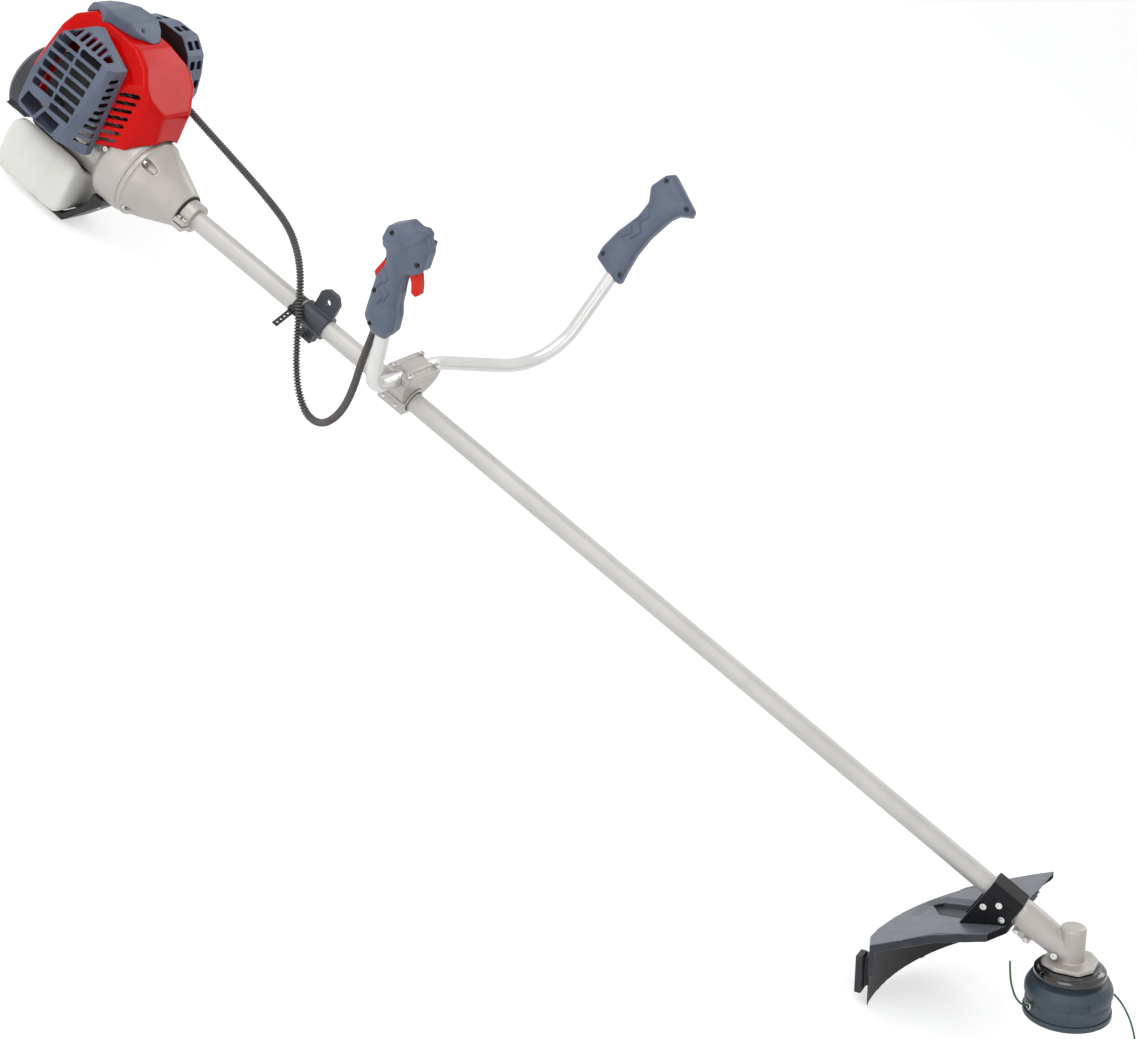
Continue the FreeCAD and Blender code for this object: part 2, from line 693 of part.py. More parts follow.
cover = cover.cut(cable_notch).cut(plate_notch).cut(shroud_outer)
nodes["filter_cover"] = cover

choke_plate = box((choke_x - 8, carb_face, choke_z - 8), (choke_x + 8, carb_face + base_thick, 62))
pivot = rod((choke_x, carb_face + base_thick, choke_z), (choke_x, carb_face + 12, choke_z), 2.5)
filter_base = joined([filter_base, stud, choke_plate.cut(shroud_outer), pivot])
nodes["filter_base"] = group([filter_base, foam])
choke = joined([
    rod((choke_x, carb_face + 5, choke_z), (choke_x, carb_face + 9, choke_z), 7),
    box((choke_x - 4, carb_face + 5, choke_z - 30), (choke_x + 4, carb_face + 9, choke_z)),
    box((choke_x - 5, carb_face + 5, choke_z - 34), (choke_x + 5, carb_face + 17, choke_z - 26))])
nodes["choke_lever"] = choke.cut(rod((choke_x, 50, choke_z), (choke_x, 100, choke_z),
                                     2.5 + running_gap))

# ---------------------------------------------------------------- starter
spacer_radius = 44.0
spacer = pipe_ring((starter_front, 0, 0), (crankcase_rear, 0, 0), spacer_radius, 38)
bracket_lug = box((starter_front, -46, -18), (starter_front + 26, -36, 14))
bracket_lug = bracket_lug.cut(box((starter_front + 9, -60, -8), (starter_front + 17, -30, 0)))
bracket_lug = bracket_lug.cut(rod((-300, 0, 0), (0, 0, 0), spacer_radius - 1))
nodes["crankcase"] = joined([crank_block, spacer, bracket_lug])
starter_case = turned([
    (0, starter_radius), (starter_front - starter_rear - 8, starter_radius),
    (starter_front - starter_rear, starter_radius - 8), (starter_front - starter_rear, 9),
    (starter_front - starter_rear - 3, 9), (starter_front - starter_rear - 3, starter_radius - 10),
    (starter_front - starter_rear - 9, starter_radius - 3), (0, starter_radius - 3)],
    V(starter_front, 0, starter_centre_z), V(-1, 0, 0))
rib_count = 12
for i in range(rib_count):
    window = box((starter_rear - 5, -3.6, 20), (starter_rear + 6, 3.6, 46))
    window.rotate(V(0, 0, 0), X_AXIS, i * 360.0 / rib_count)
    window.translate(V(0, 0, starter_centre_z))
    starter_case = starter_case.cut(window)
reel_front = -190.0
reel_rear = -212.0
rope_x = (reel_front + reel_rear) / 2
rope_z = starter_centre_z + 24
post = rod((starter_rear + 3, 0, starter_centre_z), (reel_front, 0, starter_centre_z), 5)
hub_disc = rod((starter_rear, 0, starter_centre_z), (starter_rear + 3, 0, starter_centre_z), 20)
eyelet_boss = rod((rope_x, 44, rope_z), (rope_x, starter_exit_y, rope_z), 7)
starter_case = joined([starter_case, post, hub_disc,
                       eyelet_boss.cut(rod((starter_rear, 0, starter_centre_z),
                                           (starter_front, 0, starter_centre_z),
                                           starter_radius - 3))])
starter_case = starter_case.cut(rod((rope_x, 20, rope_z), (rope_x, 80, rope_z), rope_radius + 0.6))
leg = side_prism([(-218, -52), (-218, -20), (-180, -20), (-184, -60)], -52, -38, 4)
leg = leg.cut(rod((starter_rear - 5, 0, starter_centre_z), (starter_front + 5, 0,
                  starter_centre_z), starter_radius - 3))
starter_case = joined([starter_case, leg])
nodes["starter_case"] = starter_case.cut(box((-240, -100, -130), (-150, 100, tank_top + 0.6)))
reel_profile = [(reel_front, reel_radius), (reel_front - 3, reel_radius),
                (reel_front - 3, 24 - rope_radius), (reel_rear + 3, 24 - rope_radius),
                (reel_rear + 3, reel_radius), (reel_rear, reel_radius),
                (reel_rear, 5 + running_gap), (reel_front, 5 + running_gap)]
nodes["starter_reel"] = turned(reel_profile, V(0, 0, starter_centre_z))
grip_y = starter_exit_y + 3
nodes["starter_rope"] = rod((rope_x, 0, rope_z + 0.4), (rope_x, grip_y, rope_z + 0.4),
                            rope_radius)
handle = joined([
    rod((rope_x - 24, grip_y + 12, rope_z), (rope_x + 24, grip_y + 12, rope_z), 7.5),
    Part.makeSphere(7.5, V(rope_x - 24, grip_y + 12, rope_z)),
    Part.makeSphere(7.5, V(rope_x + 24, grip_y + 12, rope_z)),
    rod((rope_x, grip_y, rope_z), (rope_x, grip_y + 10, rope_z), 5)])
nodes["starter_handle"] = handle

# ---------------------------------------------------------------- fuel tank, cap and foot
tank_outline = [(tank_rear, tank_bottom), (tank_rear, tank_top), (tank_front, tank_top),
                (tank_front, tank_bottom)]


def tank_body(wall):
    block = side_prism(inset(tank_outline, wall), -tank_half_width + wall, tank_half_width - wall,
                       tank_corner - wall)
    flat = [(-tank_half_width, tank_bottom), (-tank_half_width, tank_top),
            (tank_half_width, tank_top), (tank_half_width, tank_bottom)]
    block = block.common(front_prism(inset(flat, wall), -300, 0, tank_corner - wall))
    saddle = crankcase_radius + 3 + wall
    return block.cut(rod((-300, 0, 0), (0, 0, 0), saddle))


neck_x = -150.0
neck_z = -76.0
neck_low = tank_half_width - 8
neck_high = tank_half_width + 10
tank = joined([tank_body(0.0), rod((neck_x, neck_low, neck_z), (neck_x, neck_high, neck_z), 15)])
tank = tank.cut(tank_body(tank_wall))
tank = tank.cut(rod((neck_x, tank_half_width - 12, neck_z), (neck_x, neck_high + 1, neck_z), 12))
nodes["fuel_tank"] = tank
fuel_cap = rod((neck_x, neck_low + 9, neck_z), (neck_x, neck_high + 6, neck_z), cap_radius)
fuel_cap = fuel_cap.cut(rod((neck_x, neck_low, neck_z), (neck_x, neck_high + 0.4, neck_z),
                            15 + sliding_gap))
for i in range(12):
    angle = math.radians(30 * i)
    flute_x = neck_x + (cap_radius + 1) * math.cos(angle)
    flute_z = neck_z + (cap_radius + 1) * math.sin(angle)
    fuel_cap = fuel_cap.cut(rod((flute_x, neck_low, flute_z), (flute_x, neck_high + 10, flute_z),
                                2.2))
nodes["fuel_cap"] = fuel_cap


def tank_pad(x):
    strip = pipe_ring((x, 0, 0), (x + 14, 0, 0), crankcase_radius + 3, crankcase_radius)
    return strip.common(box((x - 1, -18, -80), (x + 15, 18, 0)))


rubber_bushes += [tank_pad(-108), tank_pad(-92)]

foot_rise_x = -72.0
foot_heel_x = -142.0
case_low = -fan_case_radius
foot_profile = [(-28, case_low + 4), (-28, case_low - 8), (foot_rise_x, foot_bottom),
                (foot_heel_x, foot_bottom), (foot_heel_x - 8, foot_bottom + foot_thick),
                (foot_rise_x - 5, foot_bottom + foot_thick), (-46, case_low - 14),
                (-46, case_low + 4)]
foot = side_prism(foot_profile, -foot_half_width, foot_half_width, 2)
foot = foot.cut(rod((-80, 0, 0), (0, 0, 0), fan_case_radius))
foot_window = [(foot_heel_x + 6, -20), (foot_heel_x + 6, 20), (foot_rise_x - 10, 20),
               (foot_rise_x - 10, -20)]
foot = foot.cut(plan_prism(foot_window, foot_bottom - 10, foot_bottom + 20, 6))
nodes["tank_foot"] = foot

# ---------------------------------------------------------------- engine screws
flange_screws = [socket_screw((flange_thick, y, z), (-1, 0, 0), 22, 2.5)
                 for y, z in flange_screw_points]
side_screws = []
for x, y, z in ((-41, -58.0, 27), (-66, -shroud_half_width, 14)):
    side_screws.append(socket_screw((x, y, z), (0, 1, 0), 8, 2.0))
foot_screws = [socket_screw((-37, y, case_low - 11), (0, 0, 1), 22, 2.5) for y in (-20, 20)]
for screw in foot_screws:
    nodes["tank_foot"] = nodes["tank_foot"].cut(screw)
    nodes["fan_case"] = nodes["fan_case"].cut(screw)
for screw in side_screws:
    for name in ("engine_shroud", "fan_case"):
        nodes[name] = nodes[name].cut(screw)
screws += flange_screws + foot_screws + side_screws

# ---------------------------------------------------------------- cable strap and hanger
strap_thick = 1.8
strap_ring = pipe_ring((strap_x - strap_width / 2, 0, 0), (strap_x + strap_width / 2, 0, 0),
                       tube_radius + strap_thick, tube_radius)
strap_tail_length = 40.0
strap_tail_end = -tube_radius - strap_tail_length
strap_tail = box((-strap_width / 2, strap_tail_end, -strap_thick), (strap_width / 2, -4, 0))
for i in range(4):
    hole_y = strap_tail_end + 6 + i * 7
    strap_tail = strap_tail.cut(rod((0, hole_y, -5), (0, hole_y, 5), 1.6))
strap_lock = box((-strap_width / 2 - 2, -tube_radius - 7, -5), (strap_width / 2 + 2, -4, 3))
strap_place = FreeCAD.Placement(V(strap_x, 0, 6), FreeCAD.Rotation(X_AXIS, 30))
strap_tail = placed(strap_tail, strap_place)
strap_lock = placed(strap_lock, strap_place)
strap = joined([strap_ring, strap_tail, strap_lock])
nodes["cable_strap"] = strap.cut(rod((200, 0, 0), (400, 0, 0), tube_radius))

hanger_low = hanger_x - hanger_width / 2
hanger_high = hanger_x + hanger_width / 2
hanger_radius = tube_radius + 4.5
hanger_ring = rod((hanger_low, 0, 0), (hanger_high, 0, 0), hanger_radius)
# The eye plate is a piece of its own that stands on the ring.
eye_plate = side_prism([(hanger_eye_x - hanger_lobe_radius, 0),
                        (hanger_eye_x - hanger_lobe_radius, hanger_eye_z + 10),
                        (hanger_eye_x - 8, hanger_eye_z + hanger_lobe_radius),
                        (hanger_eye_x + 8, hanger_eye_z + hanger_lobe_radius),
                        (hanger_eye_x + hanger_lobe_radius, hanger_eye_z + 6),
                        (hanger_eye_x + hanger_lobe_radius, 0)], -5, 5, 6)
eye_plate = eye_plate.cut(hanger_ring)
eye_plate = eye_plate.cut(rod((hanger_eye_x, -20, hanger_eye_z),
                              (hanger_eye_x, 20, hanger_eye_z), hanger_eye_radius))
lugs = box((hanger_x - 10, -9, -32), (hanger_x + 12, 9, 0))
hanger = joined([hanger_ring, lugs])
hanger = hanger.cut(rod((0, 0, 0), (tube_end, 0, 0), tube_radius + running_gap))
hanger = hanger.cut(box((hanger_low - 1, -1.5, -40), (hanger_high + 1, 1.5, 0)))
hanger_screw = socket_screw((hanger_x + 1, -9, -25), (0, 1, 0), 17, 2.5)
hanger = hanger.cut(rod((hanger_x + 1, -20, -25), (hanger_x + 1, 20, -25), 2.5))
nodes["harness_hanger"] = group([hanger, eye_plate, hanger_screw])

# ---------------------------------------------------------------- handlebar mount
bush_radius = tube_radius + mount_bush_thick
mount_low_x = mount_x - mount_half_x
mount_high_x = mount_x + mount_half_x
rubber_bushes.append(pipe_ring((mount_low_x, 0, 0), (mount_high_x + 3, 0, 0), bush_radius,
                               tube_radius))
nodes["rubber_bushes"] = group(rubber_bushes)
cap_block = front_prism([(-mount_half_y, bar_height), (-mount_half_y, bar_height + 7),
                         (-mount_half_y + 6, mount_cap_top), (mount_half_y - 6, mount_cap_top),
                         (mount_half_y, bar_height + 7), (mount_half_y, bar_height)],
                        mount_low_x, mount_high_x)
crown = side_prism([(mount_x - 17, bar_height), (mount_x - 10, bar_height + 14),
                    (mount_x + 10, bar_height + 14), (mount_x + 17, bar_height)],
                   -mount_half_y + 16, mount_half_y - 16, 3)
bar_passage = rod((mount_x, -80, bar_height), (mount_x, 80, bar_height),
                  bar_radius + running_gap)
mount_cap = joined([cap_block, crown]).cut(bar_passage)
mount_body = joined([
    front_prism([(-mount_half_y, bar_height), (-mount_half_y, bar_height - 12), (-24, 0), (24, 0),
                 (mount_half_y, bar_height - 12), (mount_half_y, bar_height)],
                mount_low_x, mount_high_x),
    rod((mount_x, -mount_half_y, bar_height), (mount_x, mount_half_y, bar_height), 15)])
mount_body = mount_body.common(box((0, -100, 0), (900, 100, bar_height)))
mount_body = mount_body.cut(bar_passage)
mount_body = mount_body.cut(rod((0, 0, 0), (tube_end, 0, 0), bush_radius))
mount_screw_points = [(mount_x + i * mount_screw_x, j * mount_screw_y)
                      for i in (-1, 1) for j in (-1, 1)]
mount_screws = []
for x, y in mount_screw_points:
    mount_cap = mount_cap.cut(rod((x, y, 0), (x, y, 80), 2.5 + screw_gap))
    mount_body = mount_body.cut(rod((x, y, bar_height - 9), (x, y, 80), 2.5))
    mount_screws.append(socket_screw((x, y, mount_cap_top), (0, 0, -1),
                                     mount_cap_top - bar_height + 9, 2.5))
nodes["mount_cap"] = mount_cap
clamp_half = 24.0
lower_clamp = front_prism([(-clamp_half, 0), (-clamp_half, -8), (-14, -22), (14, -22),
                           (clamp_half, -8), (clamp_half, 0)], mount_low_x, mount_high_x + 3, 3)
lower_clamp = joined([lower_clamp,
                      pipe_ring((mount_high_x, 0, 0), (mount_high_x + 3, 0, 0), 20, bush_radius)])
lower_clamp = lower_clamp.cut(box((mount_low_x - 1, -60, 0), (mount_high_x, 60, 60)))
lower_clamp = lower_clamp.cut(rod((0, 0, 0), (tube_end, 0, 0), bush_radius))
clamp_bolts = []
for x in (mount_x - 11, mount_x + 11):
    for y in (-20.5, 20.5):
        bolt = socket_screw((x, y, -8.5), (0, 0, 1), 17, 2.0)
        lower_clamp = lower_clamp.cut(bolt)
        lower_clamp = lower_clamp.cut(rod((x, y, -30), (x, y, -8.5), 3.7))
        mount_body = mount_body.cut(bolt)
        clamp_bolts.append(bolt)
nodes["mount_body"] = mount_body
nodes["mount_lower_clamp"] = lower_clamp
screws += mount_screws + clamp_bolts

# ---------------------------------------------------------------- handlebar
bar_path = bent_path([left_end, left_corner, left_shoulder, right_corner, right_end], bar_bends)
nodes["handlebar"] = swept(bar_path, bar_radius).cut(swept(bar_path, bar_radius - bar_wall))

# ---------------------------------------------------------------- throttle grip
# Each grip is drawn in its own frame: z up the bar, x across it and y through its thickness.
throttle_frame = frame_from(right_corner, right_end - right_corner)
throttle_outline = [(-12, 86), (9, 87), (18, 102), (18, 124), (14, 141), (14, 157), (13, 168),
                    (14, 188), (27, 194), (39, 205), (41, 233), (27, 259), (15, 256), (2, 260),
                    (-25, 241), (-30, 221), (-19, 207), (-16, 190), (-25, 168), (-28, 128),
                    (-29, 106)]
trigger_pivot = (22.0, 203.0)
lockout_pivot = (-14.5, 199.0)
pin_hole = 1.75
bar_length = right_corner.distanceToPoint(right_end)


def grip_half(outline, low_y, high_y, radius, edge_radius, bar_top):
    half = side_prism(outline, low_y, high_y, radius)
    face_y = low_y if abs(low_y) > abs(high_y) else high_y
    rim = [edge for edge in half.Edges
           if edge.BoundBox.YMin > face_y - 0.1 and edge.BoundBox.YMax < face_y + 0.1]
    half = half.makeFillet(edge_radius, rim)
    bottom = min(z for x, z in outline) - 20
    return half.cut(rod((0, 0, bottom), (0, 0, bar_top), bar_radius))


def relieved(half):
    """Cuts the slots in which the trigger and the lockout move."""
    half = half.cut(side_prism([(11, 160), (11, 213), (26, 213), (38, 204), (60, 192), (60, 160)],
                               -grip_slot_half, grip_slot_half))
    half = half.cut(side_prism([(-40, 150), (-40, 205), (-10.6, 205), (-10.6, 150)],
                               -grip_slot_half, grip_slot_half))
    half = half.cut(rod((trigger_pivot[0], -13, trigger_pivot[1]),
                        (trigger_pivot[0], 13, trigger_pivot[1]), pin_hole))
    half = half.cut(rod((lockout_pivot[0], -13, lockout_pivot[1]),
                        (lockout_pivot[0], 13, lockout_pivot[1]), pin_hole))
    return half


near_half = relieved(grip_half(throttle_outline, -grip_half_thick, 0, 2.4, 2.0, bar_length))
far_half = relieved(grip_half(throttle_outline, 0, grip_half_thick, 2.4, 2.0, bar_length))
switch_low = 222.0
switch_recess = box((20, grip_half_thick - 4, switch_low), (34, grip_half_thick + 2,
                                                            switch_low + 22))
far_half = far_half.cut(switch_recess)
throttle_screws = []
for x, z in ((-14, 238), (32, 214), (-20, 150), (-15, 102)):
    screw = socket_screw((x, -grip_half_thick + 4, z), (0, 1, 0), 22, 1.6)
    near_half = near_half.cut(screw)
    near_half = near_half.cut(rod((x, -grip_half_thick - 1, z), (x, -grip_half_thick + 4, z), 3.4))
    far_half = far_half.cut(screw)
    throttle_screws.append(placed(screw, throttle_frame))
nodes["throttle_grip_near"] = placed(near_half, throttle_frame)
nodes["throttle_grip_far"] = placed(far_half, throttle_frame)

trigger = side_prism([(17, 208), (28, 206), (34, 195), (38, 183), (40, 170), (35, 165), (28, 168),
                      (25, 181), (20, 190), (16, 198)], -lever_half, lever_half, 2)
trigger = trigger.cut(rod((trigger_pivot[0], -13, trigger_pivot[1]),
                          (trigger_pivot[0], 13, trigger_pivot[1]), pin_hole + running_gap))
nodes["throttle_trigger"] = placed(trigger, throttle_frame)
lockout = side_prism([(-11.6, 196.5), (-12, 201), (-17, 201), (-21, 192), (-31, 170), (-27, 162),
                      (-19.5, 164), (-17, 178)], -lever_half, lever_half, 0.8)
lockout = lockout.cut(rod((lockout_pivot[0], -13, lockout_pivot[1]),
                          (lockout_pivot[0], 13, lockout_pivot[1]), pin_hole + running_gap))
nodes["lockout_lever"] = placed(lockout, throttle_frame)
lever_pins = [rod((x, -13, z), (x, 13, z), pin_hole) for x, z in (trigger_pivot, lockout_pivot)]
lever_pins = [placed(pin, throttle_frame) for pin in lever_pins]
switch = box((20.5, grip_half_thick - 3.8, switch_low + 0.5),
             (33.5, grip_half_thick + 3, switch_low + 17))
nodes["stop_switch"] = placed(switch, throttle_frame)

# ---------------------------------------------------------------- left grip
left_run = left_end - left_corner
left_frame = frame_from(left_corner, left_run)
left_run_length = left_run.Length
left_outline = [(-32, 169), (-4, 159), (14, 155), (19, 160), (16, 180), (14, 205), (16, 235),
                (25, 272), (32, 284), (49, 292), (47, 302), (-6, 329), (-18, 319), (-27, 295),
                (-16, 275), (-17, 250), (-29, 215), (-34, 185)]
near_left = grip_half(left_outline, -grip_half_thick, 0, 2.4, 2.0, left_run_length)
far_left = grip_half(left_outline, 0, grip_half_thick, 2.4, 2.0, left_run_length)
left_screws = []
for x, z in ((-11, 313), (37, 296), (-26, 178), (13, 167)):
    screw = socket_screw((x, -grip_half_thick + 4, z), (0, 1, 0), 22, 1.6)
    near_left = near_left.cut(screw)
    near_left = near_left.cut(rod((x, -grip_half_thick - 1, z), (x, -grip_half_thick + 4, z), 3.4))
    far_left = far_left.cut(screw)
    left_screws.append(placed(screw, left_frame))
nodes["left_grip_near"] = placed(near_left, left_frame)
nodes["left_grip_far"] = placed(far_left, left_frame)
nodes["grip_screws"] = group(throttle_screws + left_screws + lever_pins)

# ---------------------------------------------------------------- throttle conduit
conduit_top = throttle_frame.multVec(V(-18.5, 0, 96))
conduit_points = [
    V(-44, 69, 94), V(-9, 63, 91), V(61, 56, 84), V(147, 42, 78), V(215, 24, 73),
    V(256, 6, 57), V(281, -8, 39), V(301, -21, 18), V(316, -27, -4), V(332, -32, -29),
    V(351, -38, -56), V(376, -45, -82), V(407, -54, -96), V(437, -64, -84), V(455, -76, -44),
    V(457, -87, 4), V(451, -97, 50), conduit_top]
conduit_end_way = (conduit_top - conduit_points[-2]).normalize()
conduit_socket = rod(conduit_top - conduit_end_way * 30, conduit_top + conduit_end_way * 4,
                     conduit_radius + sliding_gap)
for name in ("throttle_grip_near", "throttle_grip_far"):
    nodes[name] = nodes[name].cut(conduit_socket)
nodes["throttle_conduit"] = cord_tube("throttle_conduit", conduit_points, conduit_radius)

# ---------------------------------------------------------------- gear housing
head_frame = FreeCAD.Placement(V(head_x, 0, 0), FreeCAD.Rotation(Y_AXIS, -head_tilt))
head_up = head_frame.Rotation.multVec(Z_AXIS)
shaft_angle = math.acos(-head_up.dot(X_AXIS))
ratio = gear_teeth / pinion_teeth
pinion_cone = math.atan(math.sin(shaft_angle) / (ratio + math.cos(shaft_angle)))
gear_cone = shaft_angle - pinion_cone
face_width = 6.0
mesh_gap = 0.35


def bevel(cone_angle, teeth, bore):
    """A bevel gear with its apex at the origin and its axis along +z."""
    outer = cone_distance
    inner = cone_distance - face_width
    shrink = mesh_gap / math.cos(cone_angle)
    profile = [(inner * math.cos(cone_angle), inner * math.sin(cone_angle) - shrink),
               (outer * math.cos(cone_angle), outer * math.sin(cone_angle) - shrink),
               (outer * math.cos(cone_angle) + 3, outer * math.sin(cone_angle) - 2),
               (outer * math.cos(cone_angle) + 3, bore),
               (inner * math.cos(cone_angle), bore)]
    gear = turned(profile, V(0, 0, 0), Z_AXIS)
    depth = 1.3
    gap_half = math.pi * outer * math.sin(cone_angle) / teeth * 0.42
    for i in range(teeth):
        cutter = box((outer * math.sin(cone_angle) - shrink - depth, -gap_half / 2, -30),
                     (outer * math.sin(cone_angle) + 12, gap_half / 2, 30))
        cutter.rotate(V(outer * math.sin(cone_angle), 0, outer * math.cos(cone_angle)), Y_AXIS,
                      math.degrees(cone_angle))
        cutter.rotate(V(0, 0, 0), Z_AXIS, i * 360.0 / teeth)
        gear = gear.cut(cutter)
    return gear


pinion = bevel(pinion_cone, pinion_teeth, shaft_radius)
pinion.Placement = FreeCAD.Placement(V(head_x, 0, 0), FreeCAD.Rotation(Z_AXIS, V(-1, 0, 0)))
shaft_end = head_x - (cone_distance - face_width) * math.cos(pinion_cone)
nodes["drive_shaft"] = group([rod((shaft_start, 0, 0), (shaft_end, 0, 0), shaft_radius), pinion])

gear_back = (cone_distance * math.cos(gear_cone)) + 3
gear_nose = (cone_distance - face_width) * math.cos(gear_cone)
output_gear = placed(bevel(gear_cone, gear_teeth, output_radius), head_frame)

inner_radius = gear_case_radius - 2.8
case_bearing_low = -10.0
case_bearing_high = -2.0
pinion_bearing_start = tube_end
pinion_bearing_end = tube_end + 9
case_tower = rod((0, 0, gear_flange_low), (0, 0, gear_case_top), gear_case_radius)
tower_top_edges = [edge for edge in case_tower.Edges
                   if edge.BoundBox.ZMin > gear_case_top - 0.1]
case_tower = case_tower.makeFillet(4.0, tower_top_edges)
flange_plan = [(-gear_flange_radius, -20), (-gear_flange_radius, 20), (-14, gear_flange_radius),
               (18, gear_flange_radius), (gear_flange_radius, 14), (gear_flange_radius, -14),
               (18, -gear_flange_radius), (-14, -gear_flange_radius)]
case_flange = plan_prism(flange_plan, gear_flange_low, gear_flange_low + 6, 8)
neck = joined([
    turned([(neck_start, neck_radius), (neck_start + 6, neck_radius + 1.2),
            (neck_start + 36, neck_radius + 1.2), (neck_start + 54, neck_radius),
            (head_x - 4, neck_radius - 2.0),
            (head_x - 4, 0), (neck_start, 0)]),
    box((neck_start + 10, -9, -neck_radius - 8), (neck_start + 36, 9, 0))])
gear_case = joined([placed(joined([case_tower, case_flange]), head_frame), neck])
tower_cavity = rod((0, 0, case_bearing_high), (0, 0, gear_case_top - 4), inner_radius)
tower_cavity = joined([tower_cavity,
                       rod((0, 0, gear_flange_low - 1), (0, 0, case_bearing_high + 1), 12)])
gear_case = gear_case.cut(placed(tower_cavity, head_frame))
gear_case = gear_case.cut(rod((neck_start - 1, 0, 0), (tube_end, 0, 0), tube_radius))
gear_case = gear_case.cut(rod((tube_end - 1, 0, 0), (head_x, 0, 0), 10.5))
gear_case = gear_case.cut(box((neck_start - 1, -1, -40), (neck_start + 34, 1, -tube_radius + 1)))
neck_screw_places = ((neck_start + 15, -22.0), (neck_start + 30, -22.0))
neck_screws = []
for x, z in neck_screw_places:
    screw = socket_screw((x, -9, z), (0, 1, 0), 17, 2.0)
    gear_case = gear_case.cut(screw)
    neck_screws.append(screw)
drain_screw = socket_screw((head_x - 16, -15, -9), (0, 1, 0), 3.5, 2.5)
gear_case = gear_case.cut(drain_screw)
neck_screws.append(drain_screw)
nodes["gear_case"] = gear_case
screws += neck_screws
bearings.append(pipe_ring((pinion_bearing_start, 0, 0), (pinion_bearing_end, 0, 0), 10.5,
                          shaft_radius + running_gap))
output_bearing = pipe_ring((0, 0, case_bearing_low), (0, 0, case_bearing_high), 12,
                           output_radius + running_gap)
bearings.append(placed(output_bearing, head_frame))
nodes["shaft_bearings"] = group(bearings)

# ---------------------------------------------------------------- cutting head
cup_top = gear_flange_low - 0.6
cup_low = -27.0
output_low = -46.0
output_shaft = rod((0, 0, output_low), (0, 0, gear_back), output_radius)
nodes["output_shaft"] = group([placed(output_shaft, head_frame), output_gear])
cup = turned([(cup_top, output_radius), (cup_top, 38.4), (cup_top - 3, 38.4),
              (cup_top - 4.5, cup_radius - 3), (cup_top - 7, cup_radius), (cup_low, cup_radius),
              (cup_low, cup_radius - 2.5), (cup_top - 7, cup_radius - 3.5),
              (cup_top - 6, 36), (cup_top - 3, 35), (cup_top - 3, 12), (cup_low - 1, 12),
              (cup_low - 1, output_radius)], V(0, 0, 0), Z_AXIS)
locking_hole = rod((-26, -30, cup_top - 5), (-34, -40, cup_top - 5), 2.4)
nodes["blade_cup"] = placed(cup.cut(locking_hole), head_frame)

shell_top = cup_low - 1
latch_turn = -61.0
body_wall = 2.6
cap_top = -76.0
shell = turned([
    (shell_top, output_radius), (shell_top, 40), (shell_top - 4, 44), (-34, 51), (-42, 55.5),
    (-46, head_radius), (-53, head_radius), (-56, 54.6), (-59, 54), (-62, 55.2),
    (cap_top, 55.2), (cap_top, 55.2 - body_wall), (-59, 54 - body_wall), (-53, 51.6),
    (-44, 51.6), (-36, 47), (shell_top - 6, 40), (shell_top - 4, 12), (output_low, 12),
    (output_low, output_radius)], V(0, 0, 0), Z_AXIS)
latch_recess = box((52.6, -12, -56), (60, 12, -44))
latch_recess.rotate(V(0, 0, 0), Z_AXIS, latch_turn)
shell = shell.cut(latch_recess)
exit_direction = math.radians(225)
exit_z = -65.0
eyelet_radius = 4.0
eyelets = []
for turn in (0.0, math.pi):
    across = V(math.cos(exit_direction + turn), math.sin(exit_direction + turn), 0)
    centre = V(0, 0, exit_z)
    shell = shell.cut(rod(centre + across * 40, centre + across * 70, eyelet_radius))
    eyelets.append(pipe_ring(centre + across * 49.5, centre + across * 57, eyelet_radius, 1.9))
nodes["head_shell"] = placed(group([shell] + eyelets), head_frame)
lower_cap = turned([
    (cap_top, 50), (cap_top, rim_radius), (cap_top - 3.2, rim_radius), (cap_top - 4, 55.8),
    (cap_top - 4.8, rim_radius), (head_bottom + 1, rim_radius), (head_bottom, rim_radius - 1.5),
    (head_bottom, knob_radius + sliding_gap), (head_bottom + 3, knob_radius + sliding_gap),
    (head_bottom + 3, 50)], V(0, 0, 0), Z_AXIS)
nodes["head_lower_cap"] = placed(lower_cap, head_frame)

# The knob carries the spool and slides up by the bump travel against its spring.
spool_low = head_bottom + 3 + 0.8
spool_high = spool_low + 30
core_radius = 20.0
spool = turned([
    (spool_low, spool_radius), (spool_low + 2.5, spool_radius), (spool_low + 2.5, core_radius),
    (spool_high - 2.5, core_radius), (spool_high - 2.5, spool_radius), (spool_high, spool_radius),
    (spool_high, core_radius - 3), (spool_low, core_radius - 3)], V(0, 0, 0), Z_AXIS)
wound_line = turned([
    (spool_low + 2.5, core_radius), (spool_low + 2.5, 42), (spool_high - 2.5, 42),
    (spool_high - 2.5, core_radius)], V(0, 0, 0), Z_AXIS)
nodes["line_spool"] = placed(group([spool, wound_line]), head_frame)
knob_sleeve = core_radius - 3 - sliding_gap
sleeve_top = spool_high - 1
knob = turned([
    (knob_bottom, 0), (knob_bottom, knob_radius - 5), (knob_bottom + 4, knob_radius),
    (spool_low - 0.3, knob_radius), (spool_low - 0.3, knob_sleeve), (sleeve_top, knob_sleeve),
    (sleeve_top, knob_sleeve - 2.5), (-76, knob_sleeve - 2.5), (-76, 0)], V(0, 0, 0), Z_AXIS)
nodes["bump_knob"] = placed(knob, head_frame)


def coil_spring(low, high, radius, wire, turns):
    steps = 24
    points = []
    for i in range(steps * turns + 1):
        angle = 2 * math.pi * i / steps
        points.append(V(radius * math.cos(angle), radius * math.sin(angle),
                        low + (high - low) * i / (steps * turns)))
    curve = Part.BSplineCurve()
    curve.interpolate(points)
    section = Part.Wire(Part.makeCircle(wire, points[0], points[1] - points[0]))
    return Part.Wire(curve.toShape()).makePipeShell([section], True, True)


